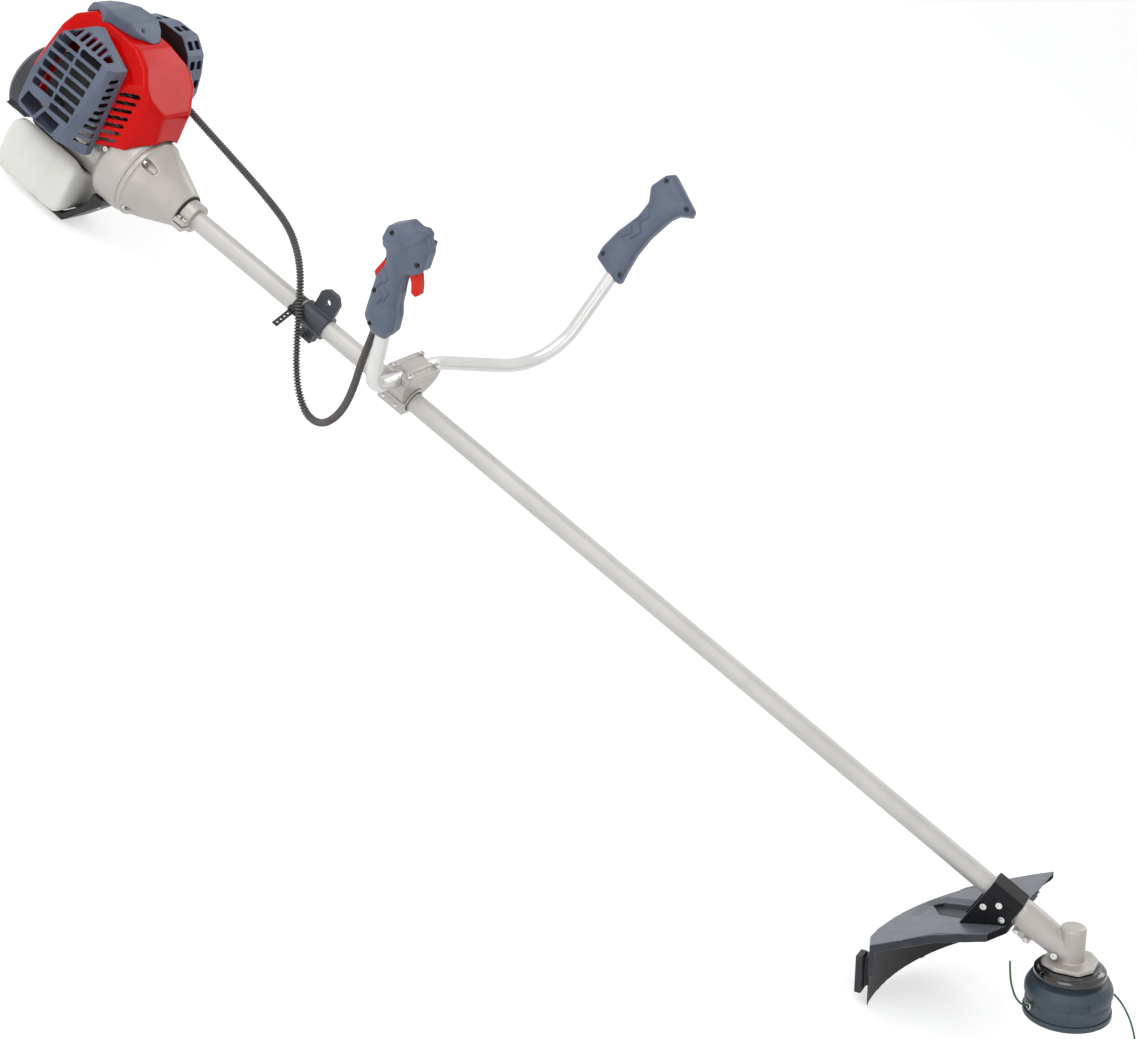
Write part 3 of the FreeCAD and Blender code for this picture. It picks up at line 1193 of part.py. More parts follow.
spring_low = -75.0
spring_high = output_low - 1.2
nodes["bump_spring"] = placed(coil_spring(spring_low, spring_high, 9.0, 0.9, 6), head_frame)


def strand(name, points):
    inside = [V(*p) for p in points]
    return placed(cord_tube(name, inside, line_radius), head_frame)


exit_at = 42.0
diagonal = math.sqrt(0.5)
clear_of_eyelet = 64.0 * diagonal
near_exit = (-exit_at * diagonal, -exit_at * diagonal, exit_z)
far_exit = (exit_at * diagonal, exit_at * diagonal, exit_z)
nodes["line_strand_near"] = strand("line_strand_near", [
    near_exit, (-clear_of_eyelet, -clear_of_eyelet, exit_z), (-56, -49, -54),
    (-62, -49, -39), (-66, -47.5, -24), (-68, -45, -5)])
nodes["line_strand_far"] = strand("line_strand_far", [
    far_exit, (clear_of_eyelet, clear_of_eyelet, exit_z), (59, 43, -75), (69, 41, -88),
    (77, 39, -103), (82, 37.5, -118), (86, 36, -133), (88, 34, -148)])

# ---------------------------------------------------------------- guard
rim_arc = Part.Arc(V(*guard_corner, 0), V(*guard_middle, 0), V(*guard_near_end, 0)).toShape()
rim_centre = rim_arc.Curve.Center
rim_reach = rim_arc.Curve.Radius
front_points = [(-228.6, -130.0), (-161.0, -76.0), (-97.0, -59.0), (-80.0, -22.0),
                (-80.0, 60.0)]


def guard_outline(wall, open_front):
    """The guard's plan: the round back edge and the straight runs of its front edge."""
    def shrunk(point):
        away = V(point[0], point[1], 0) - rim_centre
        return rim_centre + away * ((rim_reach - wall) / rim_reach)
    shift = V(40, -30, 0) if open_front else V(-wall, wall * 0.6, 0)
    far = shrunk(guard_corner)
    middle = shrunk(guard_middle)
    near = shrunk(guard_near_end)
    front = [V(x, y, 0) + shift for x, y in front_points]
    last = far + V(0, -2, 0)
    points = [near] + front
    if open_front:
        points = [near, near + V(30, -60, 0)] + front + [far + V(60, 0, 0)]
    edges = [Part.Arc(far, middle, near).toShape()]
    for a, b in zip(points, points[1:]):
        edges.append(Part.LineSegment(a, b).toShape())
    edges.append(Part.LineSegment(points[-1], far).toShape())
    return Part.Face(Part.Wire(edges))


def guard_under(lowered):
    """Everything below the guard's sloping top."""
    def height(x, y):
        return guard_top + guard_slope_x * x + guard_slope_y * y - lowered
    corners = [(-400, -300), (100, -300), (100, 400), (-400, 400)]
    top = [V(x, y, height(x, y)) for x, y in corners]
    low = [V(x, y, -400) for x, y in corners]
    faces = [Part.Face(Part.makePolygon(top + [top[0]])), Part.Face(Part.makePolygon(low + [low[0]]))]
    for i in range(4):
        k = (i + 1) % 4
        faces.append(Part.Face(Part.makePolygon([top[i], top[k], low[k], low[i], top[i]])))
    return Part.Solid(Part.Shell(faces))


def guard_block(wall, open_front, lowered, low):
    block = guard_outline(wall, open_front).extrude(V(0, 0, 300))
    block.translate(V(0, 0, low))
    return block.common(guard_under(lowered))


skirt_top = -26.0
taper_start = 150.0
wall_taper = front_prism([(taper_start, -300), (taper_start, guard_low), (guard_corner[1], -2),
                          (400, -2), (400, -300)], -400, 200)
guard = guard_block(0.0, False, 0.0, skirt_top)
guard = guard.cut(guard_block(guard_wall, False, guard_wall, skirt_top - 10))
guard = guard.cut(guard_block(guard_wall, True, guard_lip, skirt_top - 10)).cut(wall_taper)
skirt = guard_block(0.0, False, 0.0, guard_low)
skirt = skirt.cut(guard_block(guard_wall, False, 0.0, guard_low - 10))
skirt = skirt.cut(guard_block(guard_wall, True, 0.0, guard_low - 10))
skirt = skirt.common(box((-300, -300, guard_low), (100, 300, skirt_top))).cut(wall_taper)
skirt = max(skirt.Solids, key=lambda solid: solid.Volume)
nodes["guard_shell"] = placed(guard, head_frame).cut(nodes["gear_case"])
nodes["guard_skirt"] = placed(skirt, head_frame)
cutter_blade = box((-250, -118, -58), (-241, -97, -6))
cutter_foot = box((-250, -106, -52), (-236, -88, -12)).cut(guard).cut(skirt)
cutter_foot = min(cutter_foot.Solids, key=lambda solid: solid.BoundBox.XMin)
cutter_blade = joined([cutter_blade, cutter_foot])
nodes["line_cutter"] = placed(cutter_blade, head_frame)

bracket = front_prism([(-24, -70), (-24, 6), (-16, 17), (16, 17), (24, 6), (24, -70)],
                      bracket_start, bracket_end, 3)
bracket = bracket.cut(box((bracket_start - 1, -24 + bracket_wall, -80),
                          (bracket_end + 1, 24 - bracket_wall, -tube_radius + 3)))
bracket = bracket.cut(rod((0, 0, 0), (tube_end, 0, 0), tube_radius))
bracket = bracket.cut(placed(guard_under(0.0), head_frame))
bracket_screws = []
for x, z in ((bracket_start + 9, -15), (bracket_start + 23, 1), (bracket_start + 37, -13)):
    screw = socket_screw((x, -24, z), (0, 1, 0), 7, 2.5)
    bracket = bracket.cut(screw)
    bracket_screws.append(screw)
nodes["guard_bracket"] = bracket
nodes["machine_screws"] = group(screws + bracket_screws)

# ---------------------------------------------------------------- lay it on the floor
# The foot's heel and the skirt's lowest point both touch the floor.
foot_point = V(foot_heel_x, 0, foot_bottom)
lowest = min((vertex.Point for vertex in nodes["guard_skirt"].Vertexes), key=lambda p: p.z)
floor_tilt = math.degrees(math.atan2(foot_point.z - lowest.z, lowest.x - foot_point.x))
row_turn = FreeCAD.Placement(V(0, 0, 0), FreeCAD.Rotation(Y_AXIS, -floor_tilt))

cord_names = ("throttle_conduit", "line_strand_near", "line_strand_far")
turned_box = FreeCAD.BoundBox()
for name, shape in nodes.items():
    if name not in cord_names:
        turned_box.add(placed(shape, row_turn).BoundBox)
row_move = V(-(turned_box.XMin + turned_box.XMax) / 2, -(turned_box.YMin + turned_box.YMax) / 2,
             -turned_box.ZMin)
row_frame = FreeCAD.Placement(row_move, FreeCAD.Rotation(Y_AXIS, -floor_tilt))
print("floor tilt", round(floor_tilt, 4), "row origin", [round(c, 3) for c in row_move])

for name, shape in nodes.items():
    placed(shape, row_frame).exportStep("parts/" + name + ".step")
print(len(nodes), "nodes")
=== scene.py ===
# %% [markdown]
# # A petrol string trimmer with a bicycle handlebar
# The machine lies as it does on a floor: on the foot under its fuel tank and on the edge of its
# guard. The engineering model gives every part its place and size, in metres, and this lesson
# gives the parts their moulded, cast and painted surfaces. First the model is loaded.

# %% Load the engineering model
import json
import math
import bmesh
import bpy
import numpy as np
from mathutils import Matrix, Vector


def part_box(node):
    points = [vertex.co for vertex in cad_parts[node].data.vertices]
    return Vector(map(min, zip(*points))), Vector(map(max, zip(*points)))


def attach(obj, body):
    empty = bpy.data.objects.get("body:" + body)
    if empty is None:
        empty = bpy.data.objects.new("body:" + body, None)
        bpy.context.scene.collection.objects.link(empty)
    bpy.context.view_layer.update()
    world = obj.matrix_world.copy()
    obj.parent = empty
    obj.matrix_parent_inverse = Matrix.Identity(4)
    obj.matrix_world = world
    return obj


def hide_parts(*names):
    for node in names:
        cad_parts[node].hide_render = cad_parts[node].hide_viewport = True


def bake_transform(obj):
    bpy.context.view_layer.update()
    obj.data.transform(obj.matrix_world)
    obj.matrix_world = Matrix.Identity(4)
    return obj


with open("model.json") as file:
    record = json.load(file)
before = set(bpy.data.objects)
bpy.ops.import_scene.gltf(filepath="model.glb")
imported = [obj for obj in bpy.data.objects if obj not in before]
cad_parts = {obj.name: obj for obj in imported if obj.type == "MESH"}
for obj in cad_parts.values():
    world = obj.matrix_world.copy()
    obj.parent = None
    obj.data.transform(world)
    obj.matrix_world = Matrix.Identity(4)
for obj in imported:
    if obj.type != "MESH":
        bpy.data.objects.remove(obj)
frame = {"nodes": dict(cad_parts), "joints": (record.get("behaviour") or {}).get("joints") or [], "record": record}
nodes = frame["nodes"]
joints = {joint["name"]: joint for joint in frame["joints"]}
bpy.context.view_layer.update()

# %% [markdown]
# Most pieces are easier to describe in their own directions than in the floor's. The drive tube
# gives one set, with x along it from the engine, y to the operator's left and z up. The cutting
# head has another, square to its own shaft, and each handlebar grip has one that stands on its
# bar. Every set is worked out from the joints, so a piece drawn in it lands on the model.

# %% Working directions of the tube, the head and the grips
MM = 0.001


def directions(origin, x, y, z):
    """A matrix with these three directions as its axes, and this place as its origin."""
    return Matrix(((x.x, y.x, z.x, origin.x), (x.y, y.y, z.y, origin.y),
                   (x.z, y.z, z.z, origin.z), (0, 0, 0, 1)))


left = Vector((0, 1, 0))
tube_way = Vector(joints["drive_spin"]["axis"])
tube_set = directions(Vector(joints["drive_spin"]["pos_m"]), tube_way, left, tube_way.cross(left))
head_way = Vector(joints["head_spin"]["axis"])
head_set = directions(Vector(joints["head_spin"]["pos_m"]), left.cross(head_way), left, head_way)


def bar_set(corner, end):
    """x, y and z for a grip: z runs up its bar, and x leans the least it can from the tube."""
    up = (end - corner).normalized()
    across = (tube_way - up * tube_way.dot(up)).normalized()
    return directions(corner, across, up.cross(across), up)


def tube_point(x, y, z):
    """A point in the tube's directions, given in millimetres, in the model's metres."""
    return tube_set @ Vector((x * MM, y * MM, z * MM))


right_set = bar_set(tube_point(485, -110, 33), tube_point(438.9, -150, 260.8))
left_set = bar_set(tube_point(585, 207, 67), tube_point(566, 330, 347))
print("tube leans", round(math.degrees(math.asin(tube_way.z)), 2), "degrees")

# %% [markdown]
# ## Camera
# The machine is two metres long and is looked at from its right side and from above, a little
# nearer the cutting head than the engine. A long lens, just under 70 mm on a full frame, keeps
# the near and far ends close to true size. The camera's place and its three directions are
# written in the tube's directions, and a small shift of the lens frames the view.

# %% Camera
camera_data = bpy.data.cameras.new("camera")
camera_data.lens = 69.66
camera_data.sensor_width = 36.0
camera_data.shift_x = -0.0336
camera_data.shift_y = 0.0292
camera_data.clip_end = 50
camera = bpy.data.objects.new("camera", camera_data)
bpy.context.scene.collection.objects.link(camera)
bpy.context.scene.camera = camera
camera_right = tube_set.to_3x3() @ Vector((0.75530, 0.42553, 0.49844))
camera_down = tube_set.to_3x3() @ Vector((0.63292, -0.27624, -0.72326))
camera_ahead = tube_set.to_3x3() @ Vector((-0.17008, 0.86175, -0.47797))
camera.matrix_world = directions(tube_point(1351.94, -2539.29, 1421.23),
                                 camera_right, -camera_down, -camera_ahead)
print("camera at", [round(v, 3) for v in camera.location])

# %% [markdown]
# ## Light and floor
# Product light: a white surrounding, a broad soft lamp above the near side, two weaker ones
# that fill the near faces, and one behind that draws a bright edge. The surrounding is white
# where the camera looks past the machine and where a glossy surface mirrors it, but it lights
# the machine with less than half of that, so that pale metal keeps its shading. The floor is
# plain and keeps the shadow under the machine.

# %% World, lamps and floor
scene = bpy.context.scene
scene.view_settings.view_transform = "Standard"


def add(tree, kind, settings=None, links=None):
    """Adds one node with its settings, and links its inputs to other nodes' outputs."""
    node = tree.nodes.new("ShaderNode" + kind)
    for key, value in (settings or {}).items():
        if isinstance(key, str) and hasattr(node, key):
            setattr(node, key, value)
        else:
            node.inputs[key].default_value = value
    for key, source in (links or {}).items():
        tree.links.new(source, node.inputs[key])
    return node


def seen_rays(tree):
    """1 on the rays that reach an eye, straight, off a mirror or through glass, and else 0."""
    rays = add(tree, "LightPath")
    bent = add(tree, "Math", {"operation": "MAXIMUM"},
               {0: rays.outputs["Is Glossy Ray"], 1: rays.outputs["Is Transmission Ray"]})
    return add(tree, "Math", {"operation": "MAXIMUM"},
               {0: rays.outputs["Is Camera Ray"], 1: bent.outputs[0]}).outputs[0]


world = bpy.data.worlds.new("studio")
scene.world = world
world.use_nodes = True
world_tree = world.node_tree
world_tree.nodes.clear()
world_light = add(world_tree, "Background", {"Color": (0.96, 0.98, 1.0, 1), "Strength": 0.44})
world_white = add(world_tree, "Background", {"Color": (1, 1, 1, 1), "Strength": 1.0})
world_mix = add(world_tree, "MixShader", None,
                {0: seen_rays(world_tree), 1: world_light.outputs[0], 2: world_white.outputs[0]})
add(world_tree, "OutputWorld", None, {"Surface": world_mix.outputs[0]})


def lamp(name, place, target, size, power):
    """A rectangular lamp of so many metres and watts, that shines from place to target."""
    data = bpy.data.lights.new(name, "AREA")
    data.shape = "RECTANGLE"
    data.size, data.size_y = size
    data.energy = power
    made = bpy.data.objects.new(name, data)
    scene.collection.objects.link(made)
    made.location = place
    made.rotation_euler = (Vector(target) - Vector(place)).to_track_quat("-Z", "Y").to_euler()


lamp("key", (-1.6, -1.8, 3.4), (0, 0, 0.1), (2.6, 1.8), 44)
lamp("fill", (2.6, -2.6, 2.0), (0.3, 0, 0.1), (1.8, 1.2), 12)
lamp("front", (-0.9, -3.4, 1.1), (-0.2, 0, 0.1), (2.4, 1.0), 17)
lamp("rim", (0.2, 3.0, 2.2), (0, 0, 0.1), (2.6, 0.8), 20)
print("lamps", [light.name for light in bpy.data.lights])

floor_mesh = bpy.data.meshes.new("floor")
floor_mesh.from_pydata([(-30, -30, 0), (30, -30, 0), (30, 30, 0), (-30, 30, 0)], [],
                       [(0, 1, 2, 3)])
floor = bpy.data.objects.new("floor", floor_mesh)
scene.collection.objects.link(floor)

# %% [markdown]
# ## Finishes
# Each material is made the same way. It starts as a principled shader with the colour, metal and
# roughness of the real stuff. Then come the marks that its making leaves: grain, draw lines,
# flow marks and clouds of slightly different colour. A mark is a noise with lumps of a real
# size, laid out in the object's own millimetres, and it can tint, dull and raise the surface.

# %% A way to start a material and to mark it
def linear(hex_colour):
    """An sRGB hex colour as linear red, green, blue and 1."""
    channels = [int(hex_colour[i:i + 2], 16) / 255 for i in (1, 3, 5)]
    return tuple(c / 12.92 if c <= 0.04045 else ((c + 0.055) / 1.055) ** 2.4
                 for c in channels) + (1,)


def start(name, hex_colour, roughness, metallic=0.0, **extra):
    """A material and its principled shader. extra holds more of the shader's own settings."""
    made = bpy.data.materials.new(name)
    made.use_nodes = True
    tree = made.node_tree
    tree.nodes.clear()
    shader = add(tree, "BsdfPrincipled", {"Base Color": linear(hex_colour),
                                          "Roughness": roughness, "Metallic": metallic})
    for key, value in extra.items():
        shader.inputs[key.replace("_", " ")].default_value = value
    add(tree, "OutputMaterial", None, {"Surface": shader.outputs[0]})
    return made, shader


def mark(shader, size_mm, colours=None, roughness=None, depth_mm=None, strength=0.5, detail=2.0,
         stretch=(1.0, 1.0, 1.0), middle=0.3):
    """Marks a surface with lumps of size_mm, drawn out along the axes where stretch is under 1.
    They change its colour or roughness between two values, or raise it by depth_mm. middle is
    how much of the noise's range the change of colour takes."""
    tree = shader.id_data
    place = add(tree, "TexCoord")
    scale = add(tree, "VectorMath", {"operation": "MULTIPLY", 1: [axis / MM for axis in stretch]},
                {0: place.outputs["Object"]})
    lumps = add(tree, "TexNoise", {"Scale": 1.0 / size_mm, "Detail": detail},
                {"Vector": scale.outputs[0]}).outputs["Fac"]
    if colours is not None:
        share = add(tree, "MapRange", {"From Min": 0.5 - middle / 2, "From Max": 0.5 + middle / 2},
                    {"Value": lumps})
        tint = add(tree, "MixRGB", {"Color1": linear(colours[0]), "Color2": linear(colours[1])},
                   {"Fac": share.outputs[0]})
        tree.links.new(tint.outputs[0], shader.inputs["Base Color"])
    if roughness is not None:
        dull = add(tree, "MapRange", {"From Min": 0.3, "From Max": 0.7, "To Min": roughness[0],
                                      "To Max": roughness[1]}, {"Value": lumps})
        tree.links.new(dull.outputs[0], shader.inputs["Roughness"])
    if depth_mm is not None:
        raised = add(tree, "Bump", {"Distance": depth_mm * MM, "Strength": strength},
                     {"Height": lumps})
        tree.links.new(raised.outputs[0], shader.inputs["Normal"])


def grained(name, dark, light, roughness, grain_mm, depth_mm, **inputs):
    """A finish with a fine even grain, such as the skin from a spark-eroded mould."""
    made, shader = start(name, dark, roughness, **inputs)
    mark(shader, 25.0, colours=(dark, light))
    mark(shader, grain_mm, roughness=(roughness - 0.06, roughness + 0.1), depth_mm=depth_mm)
    return made


# %% [markdown]
# The floor is matt and pale, and white wherever the camera looks at it, apart from the shadow
# that falls on it. A light grey holds the shadow, and a white glow that only the camera, mirrors
# and glass see lifts the rest.

# %% The floor
floor_material, shader = start("studio_floor_vinyl", "#F4F4F4", 0.6)
mark(shader, 40.0, roughness=(0.55, 0.65))
tree = floor_material.node_tree
glow = add(tree, "Math", {"operation": "MULTIPLY", 1: 0.5}, {0: seen_rays(tree)})
shader.inputs["Emission Color"].default_value = (1, 1, 1, 1)
tree.links.new(glow.outputs[0], shader.inputs["Emission Strength"])
floor.data.materials.append(floor_material)

# %% [markdown]
# ### Metals
# The drive tube is drawn aluminium with a clear satin anodising: evenly grey, with hair-fine
# lines along it. The handlebar is brightened before its anodising, so it is smoother and mirrors
# the room more. The mounts, clutch housing and gear case are pressure cast and painted silver,
# so they are rougher, warmer and slightly grainy. Draw lines and casting grain are finer than
# they are drawn here, which is as fine as they still show.

# %% Aluminium
anodised, shader = start("anodised_aluminium_tube", "#CFCDC9", 0.46, 0.25)
mark(shader, 60.0, colours=("#CBC9C5", "#D3D1CD"))
mark(shader, 0.5, roughness=(0.42, 0.52), depth_mm=0.012, strength=0.3, stretch=(0.02, 1.0, 1.0))

bright, shader = start("brightened_aluminium_bar", "#E2E1DF", 0.3, 0.5)
mark(shader, 50.0, colours=("#DEDDDB", "#E6E5E3"))
mark(shader, 25.0, roughness=(0.26, 0.34))
mark(shader, 6.0, depth_mm=0.01, strength=0.15)

cast, shader = start("pressure_cast_aluminium_silver_paint", "#BFBAB3", 0.42, 0.35)
mark(shader, 40.0, colours=("#BBB6AF", "#C5C0B9"), middle=0.4)
mark(shader, 0.9, roughness=(0.34, 0.46), depth_mm=0.09, detail=3.0)

raw_cast, shader = start("raw_cast_aluminium", "#A9A7A2", 0.45, 0.8)
mark(shader, 9.0, colours=("#9B9891", "#B4B2AD"), detail=3.0)
mark(shader, 0.8, depth_mm=0.15, strength=0.6, detail=3.0)
print("aluminium done")

# %% [markdown]
# Steel is ground where it turns in a bearing, zinc plated on the engine's screws, and blackened
# on the line cutter and the screws of the grips; on the grip screws that black is also painted
# shade in their deep holes. Heat-proof paint on the muffler is dull and near-black, which is
# partly painted shade behind the grille's slots, and the enamel of the blade cup is glossy, because a clear coat
# lies over its black.

# %% Steel and the paints on it
steel, shader = start("ground_steel", "#B9B7B2", 0.3, 1.0)
mark(shader, 12.0, colours=("#AFADA8", "#C2C0BC"))
mark(shader, 0.4, roughness=(0.24, 0.4), stretch=(0.1, 1.0, 1.0))

zinc, shader = start("zinc_plated_steel_screws", "#D4D4D2", 0.18, 1.0)
mark(shader, 3.0, colours=("#C4C5C6", "#DEDEDA"))
mark(shader, 1.5, roughness=(0.14, 0.28))

# The muffler's near-black is partly painted shade behind the grille's slots.
heat_black_and_painted_shade = grained("heat_proof_black_paint_and_painted_shade", "#0C0C0D", "#151516", 0.6, 0.8, 0.1)
# On the grip screws this black is painted shade in their deep holes.
blackened_and_painted_shade = grained("blackened_steel_and_painted_shade", "#17181C", "#202228", 0.4, 0.8, 0.03)
black_paint, shader = start("gloss_black_enamel_on_steel", "#0B0B0C", 0.12,
                            Coat_Weight=0.6, Coat_Roughness=0.05)
mark(shader, 6.0, roughness=(0.1, 0.18))
mark(shader, 5.0, depth_mm=0.04, strength=0.3)
print("steel done")

# %% [markdown]
# ### Plastics
# The shroud is glossy ABS, the grips, grille and covers are a slate-grey nylon with a fine spark
# texture, the guard is polypropylene with a satin skin, the tank is natural polyethylene, milky
# and slightly see-through, and the hidden or small parts are black nylon. A deep colour turns
# chalky when a white room is mirrored in it, so the reds and the guard's darkest faces have a
# Specular IOR Level below the usual 0.5. The real grain is a few hundredths of a millimetre
# wide, too fine to show from here, so it is drawn at 0.5 to 0.8 mm.

# %% Plastics with a fine grain, and rubber
slate = grained("slate_glass_filled_nylon", "#5B6679", "#657084", 0.42, 0.7, 0.08)
guard_plastic = grained("dark_slate_polypropylene", "#676B75", "#71757F", 0.36, 0.8, 0.05)
# A darker copy of the guard plastic: painted shade on the sunk panel and the right-facing edge.
painted_shade_plastic = grained("charcoal_painted_shade", "#33363D", "#3C3F47", 0.4, 0.8, 0.05,
                       Specular_IOR_Level=0.3)
# Near-black: the bracket's own plastic, and painted shade on the guard's inner face round the head.
near_black_and_painted_shade = grained("near_black_polypropylene_and_painted_shade", "#101114", "#16171B", 0.5, 0.8, 0.05,
                         Specular_IOR_Level=0.2)
dark_plastic = grained("charcoal_nylon", "#2E313A", "#383B45", 0.4, 0.7, 0.08)
black_plastic = grained("black_nylon", "#141415", "#1C1C1E", 0.42, 0.7, 0.08)
head_plastic = grained("dark_blue_grey_nylon", "#36434E", "#3F4C58", 0.4, 0.7, 0.06)
rubber = grained("black_rubber", "#18181A", "#202022", 0.65, 0.5, 0.06)
conduit_plastic = grained("corrugated_polyamide", "#565151", "#625D5B", 0.42, 0.6, 0.05)
print("grained plastics done")

# %% [markdown]
# The shroud's mould is polished, and only the slow ripple of its flow shows in it. The levers
# are acetal, which is waxy. Light goes a few millimetres into the tank's wall and comes out
# again beside where it went in, which subsurface scattering gives. The line lets some through.

# %% Glossy, waxy and see-through plastics
red_abs, shader = start("glossy_red_abs", "#E00603", 0.14, IOR=1.45, Specular_IOR_Level=0.16)
mark(shader, 45.0, colours=("#DB0402", "#E60805"), middle=0.4)
mark(shader, 9.0, roughness=(0.12, 0.18))
mark(shader, 18.0, depth_mm=0.08, strength=0.2, detail=1.0)

lever_red, shader = start("red_acetal_levers", "#EE2E1B", 0.34, Specular_IOR_Level=0.2)
mark(shader, 14.0, colours=("#E72814", "#F23722"))
mark(shader, 2.0, roughness=(0.27, 0.4))

tank_plastic, shader = start("natural_polyethylene_tank", "#FBF8F0", 0.34,
                             Subsurface_Weight=0.25, Subsurface_Scale=0.006,
                             Subsurface_Radius=(1.0, 0.95, 0.85))
mark(shader, 30.0, colours=("#F8F5EB", "#FEFCF5"), middle=0.4)
mark(shader, 3.0, depth_mm=0.08, strength=0.4)

line_nylon, shader = start("green_nylon_line", "#0C6B2C", 0.22, Transmission_Weight=0.15)
mark(shader, 2.0, roughness=(0.18, 0.3))
print("materials", len(bpy.data.materials))

# %% [markdown]
# ## Giving each part its finish
# Every engineering part takes the finish of what it is made of. Turned, drawn and inner parts are
# already the right shape and need nothing more.

# %% Finishes for the parts of the model
finish_of = {
    anodised: ["drive_tube"],
    bright: ["handlebar"],
    cast: ["clutch_housing", "tube_clamp", "mount_cap", "mount_body", "mount_lower_clamp",
           "gear_case", "fan_case"],
    raw_cast: ["crankcase", "cylinder", "carburettor", "flywheel_fan", "piston_and_rod"],
    steel: ["clutch_drum", "crankshaft_and_clutch_shoes", "drive_shaft", "output_shaft",
            "shaft_bearings", "bump_spring"],
    # near-black muffler: partly painted shade behind the grille's slots
    heat_black_and_painted_shade: ["muffler"],
    # grip screws: black as painted shade in their holes
    blackened_and_painted_shade: ["grip_screws", "line_cutter"],
    zinc: ["machine_screws"],
    red_abs: ["engine_shroud"],
    slate: ["top_cap", "muffler_grille", "filter_cover", "throttle_grip_near",
            "throttle_grip_far", "left_grip_near", "left_grip_far"],
    guard_plastic: ["guard_shell", "guard_skirt"],
    near_black_and_painted_shade: ["guard_bracket"],
    dark_plastic: ["starter_case", "harness_hanger"],
    black_plastic: ["cable_strap", "choke_lever", "filter_base", "fuel_cap", "ignition_parts",
                    "line_spool", "starter_handle", "starter_reel", "starter_rope",
                    "stop_switch", "tank_foot"],
    head_plastic: ["head_shell", "head_lower_cap", "bump_knob"],
    black_paint: ["blade_cup"],
    conduit_plastic: ["throttle_conduit"],
    lever_red: ["throttle_trigger", "lockout_lever"],
    tank_plastic: ["fuel_tank"],
    line_nylon: ["line_strand_near", "line_strand_far"],
    rubber: ["rubber_bushes", "primer_bulb"],
}
for material, names in finish_of.items():
    for name in names:
        node = nodes[name]
        node.data.materials.clear()
        node.data.materials.append(material)
print("finishes set on", sum(len(names) for names in finish_of.values()), "parts")

# %% [markdown]
# ## Moulded and cast shapes
# A casting or moulding has no sharp inner corner either: metal and plastic would not flow round
# it. A bevel can't make those hollows where two shapes run into each other, so the parts that
# show them are made again as a fine skin of small cells, which is then smoothed a few times.
# The more passes, the rounder the part. It keeps the place and size of the model's part.

# %% Remoulding a part of the model
body_of = {name: body for body, names in frame["record"]["behaviour"]["bodies"].items()
           for name in names}
FIRST_PASSES = 5


def baked(made):
    """Applies a piece's modifiers to its mesh."""
    evaluated = made.evaluated_get(bpy.context.evaluated_depsgraph_get())
    mesh = bpy.data.meshes.new_from_object(evaluated)
    made.modifiers.clear()
    made.data = mesh
    return made


def own_points(piece, set_):
    """The places and normals of a piece's points, and its places in set_, in millimetres."""
    count = len(piece.data.vertices)
    places = np.empty(count * 3)
    normals = np.empty(count * 3)
    piece.data.vertices.foreach_get("co", places)
    piece.data.vertices.foreach_get("normal", normals)
    places = places.reshape(-1, 3)
    to_own = np.array(set_.inverted())
    own = (places @ to_own[:3, :3].T + to_own[:3, 3]) / MM
    return places, normals.reshape(-1, 3), own


def nearest(flat, line):
    """How far each point is from a line of straight runs."""
    far = np.full(len(flat), np.inf)
    for a, b in zip(np.array(line[:-1], float), np.array(line[1:], float)):
        along = np.clip((flat - a) @ (b - a) / max((b - a) @ (b - a), 1e-9), 0, 1)
        far = np.minimum(far, np.linalg.norm(flat - a - along[:, None] * (b - a), axis=1))
    return far


def move_points(piece, places):
    """Puts a piece's points in new places."""
    piece.data.vertices.foreach_set("co", places.ravel())
    piece.data.update()


def joined_mesh(name, names):
    """One mesh of the named parts of the model, with its split corners joined up again."""
    shape = bmesh.new()
    for part in names:
        shape.from_mesh(nodes[part].data)
    bmesh.ops.remove_doubles(shape, verts=shape.verts, dist=0.002 * MM)
    mesh = bpy.data.meshes.new(name)
    shape.to_mesh(mesh)
    shape.free()
    return mesh


def moulded(name, mesh, names, cell_mm, passes, sharp=(), reshape=None):
    """A piece with every corner of the mesh rounded, which stands for the named parts. Inside
    the sharp boxes, in the tube's millimetres, it is hardly rounded. reshape is a function that
    moves the points before they are smoothed."""
    made = bpy.data.objects.new(name, mesh)
    scene.collection.objects.link(made)
    cells = made.modifiers.new("cells", "REMESH")
    cells.mode = "VOXEL"
    cells.voxel_size = cell_mm * MM
    cells.use_smooth_shade = True
    first = made.modifiers.new("smoothing", "SMOOTH")
    first.factor = 0.5
    first.iterations = min(passes, FIRST_PASSES)
    baked(made)
    if reshape is not None:
        reshape(made)
    if passes > FIRST_PASSES:
        more = made.modifiers.new("smoothing", "SMOOTH")
        more.factor = 0.5
        more.iterations = passes - FIRST_PASSES
        if sharp:
            own = own_points(made, tube_set)[2]
            free = np.ones(len(own), bool)
            for low, high in sharp:
                free &= ~np.all((own > low) & (own < high), axis=1)
            group = made.vertex_groups.new(name="rounded")
            group.add([int(i) for i in np.nonzero(free)[0]], 1.0, "REPLACE")
            more.vertex_group = group.name
        baked(made)
        made.vertex_groups.clear()
    made.data.name = name
    made.data.materials.clear()
    made.data.materials.append(nodes[names[0]].data.materials[0])
    for polygon in made.data.polygons:
        polygon.use_smooth = True
    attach(made, body_of[names[0]])
    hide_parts(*names)
    print(name, len(made.data.vertices), "points")
    return made


def remould(cell_mm, passes, *names, **extra):
    """One rounded piece for the named parts of the model."""
    name = names[0] + "_moulded"
    return moulded(name, joined_mesh(name, names), names, cell_mm, passes, **extra)


# %% [markdown]
# Each part is given the size of its cells in millimetres and the number of passes. A blow-moulded
# tank is round all over, castings keep a corner of a millimetre or two, and the side of the
# shroud that holds its slanted slots stays sharp.

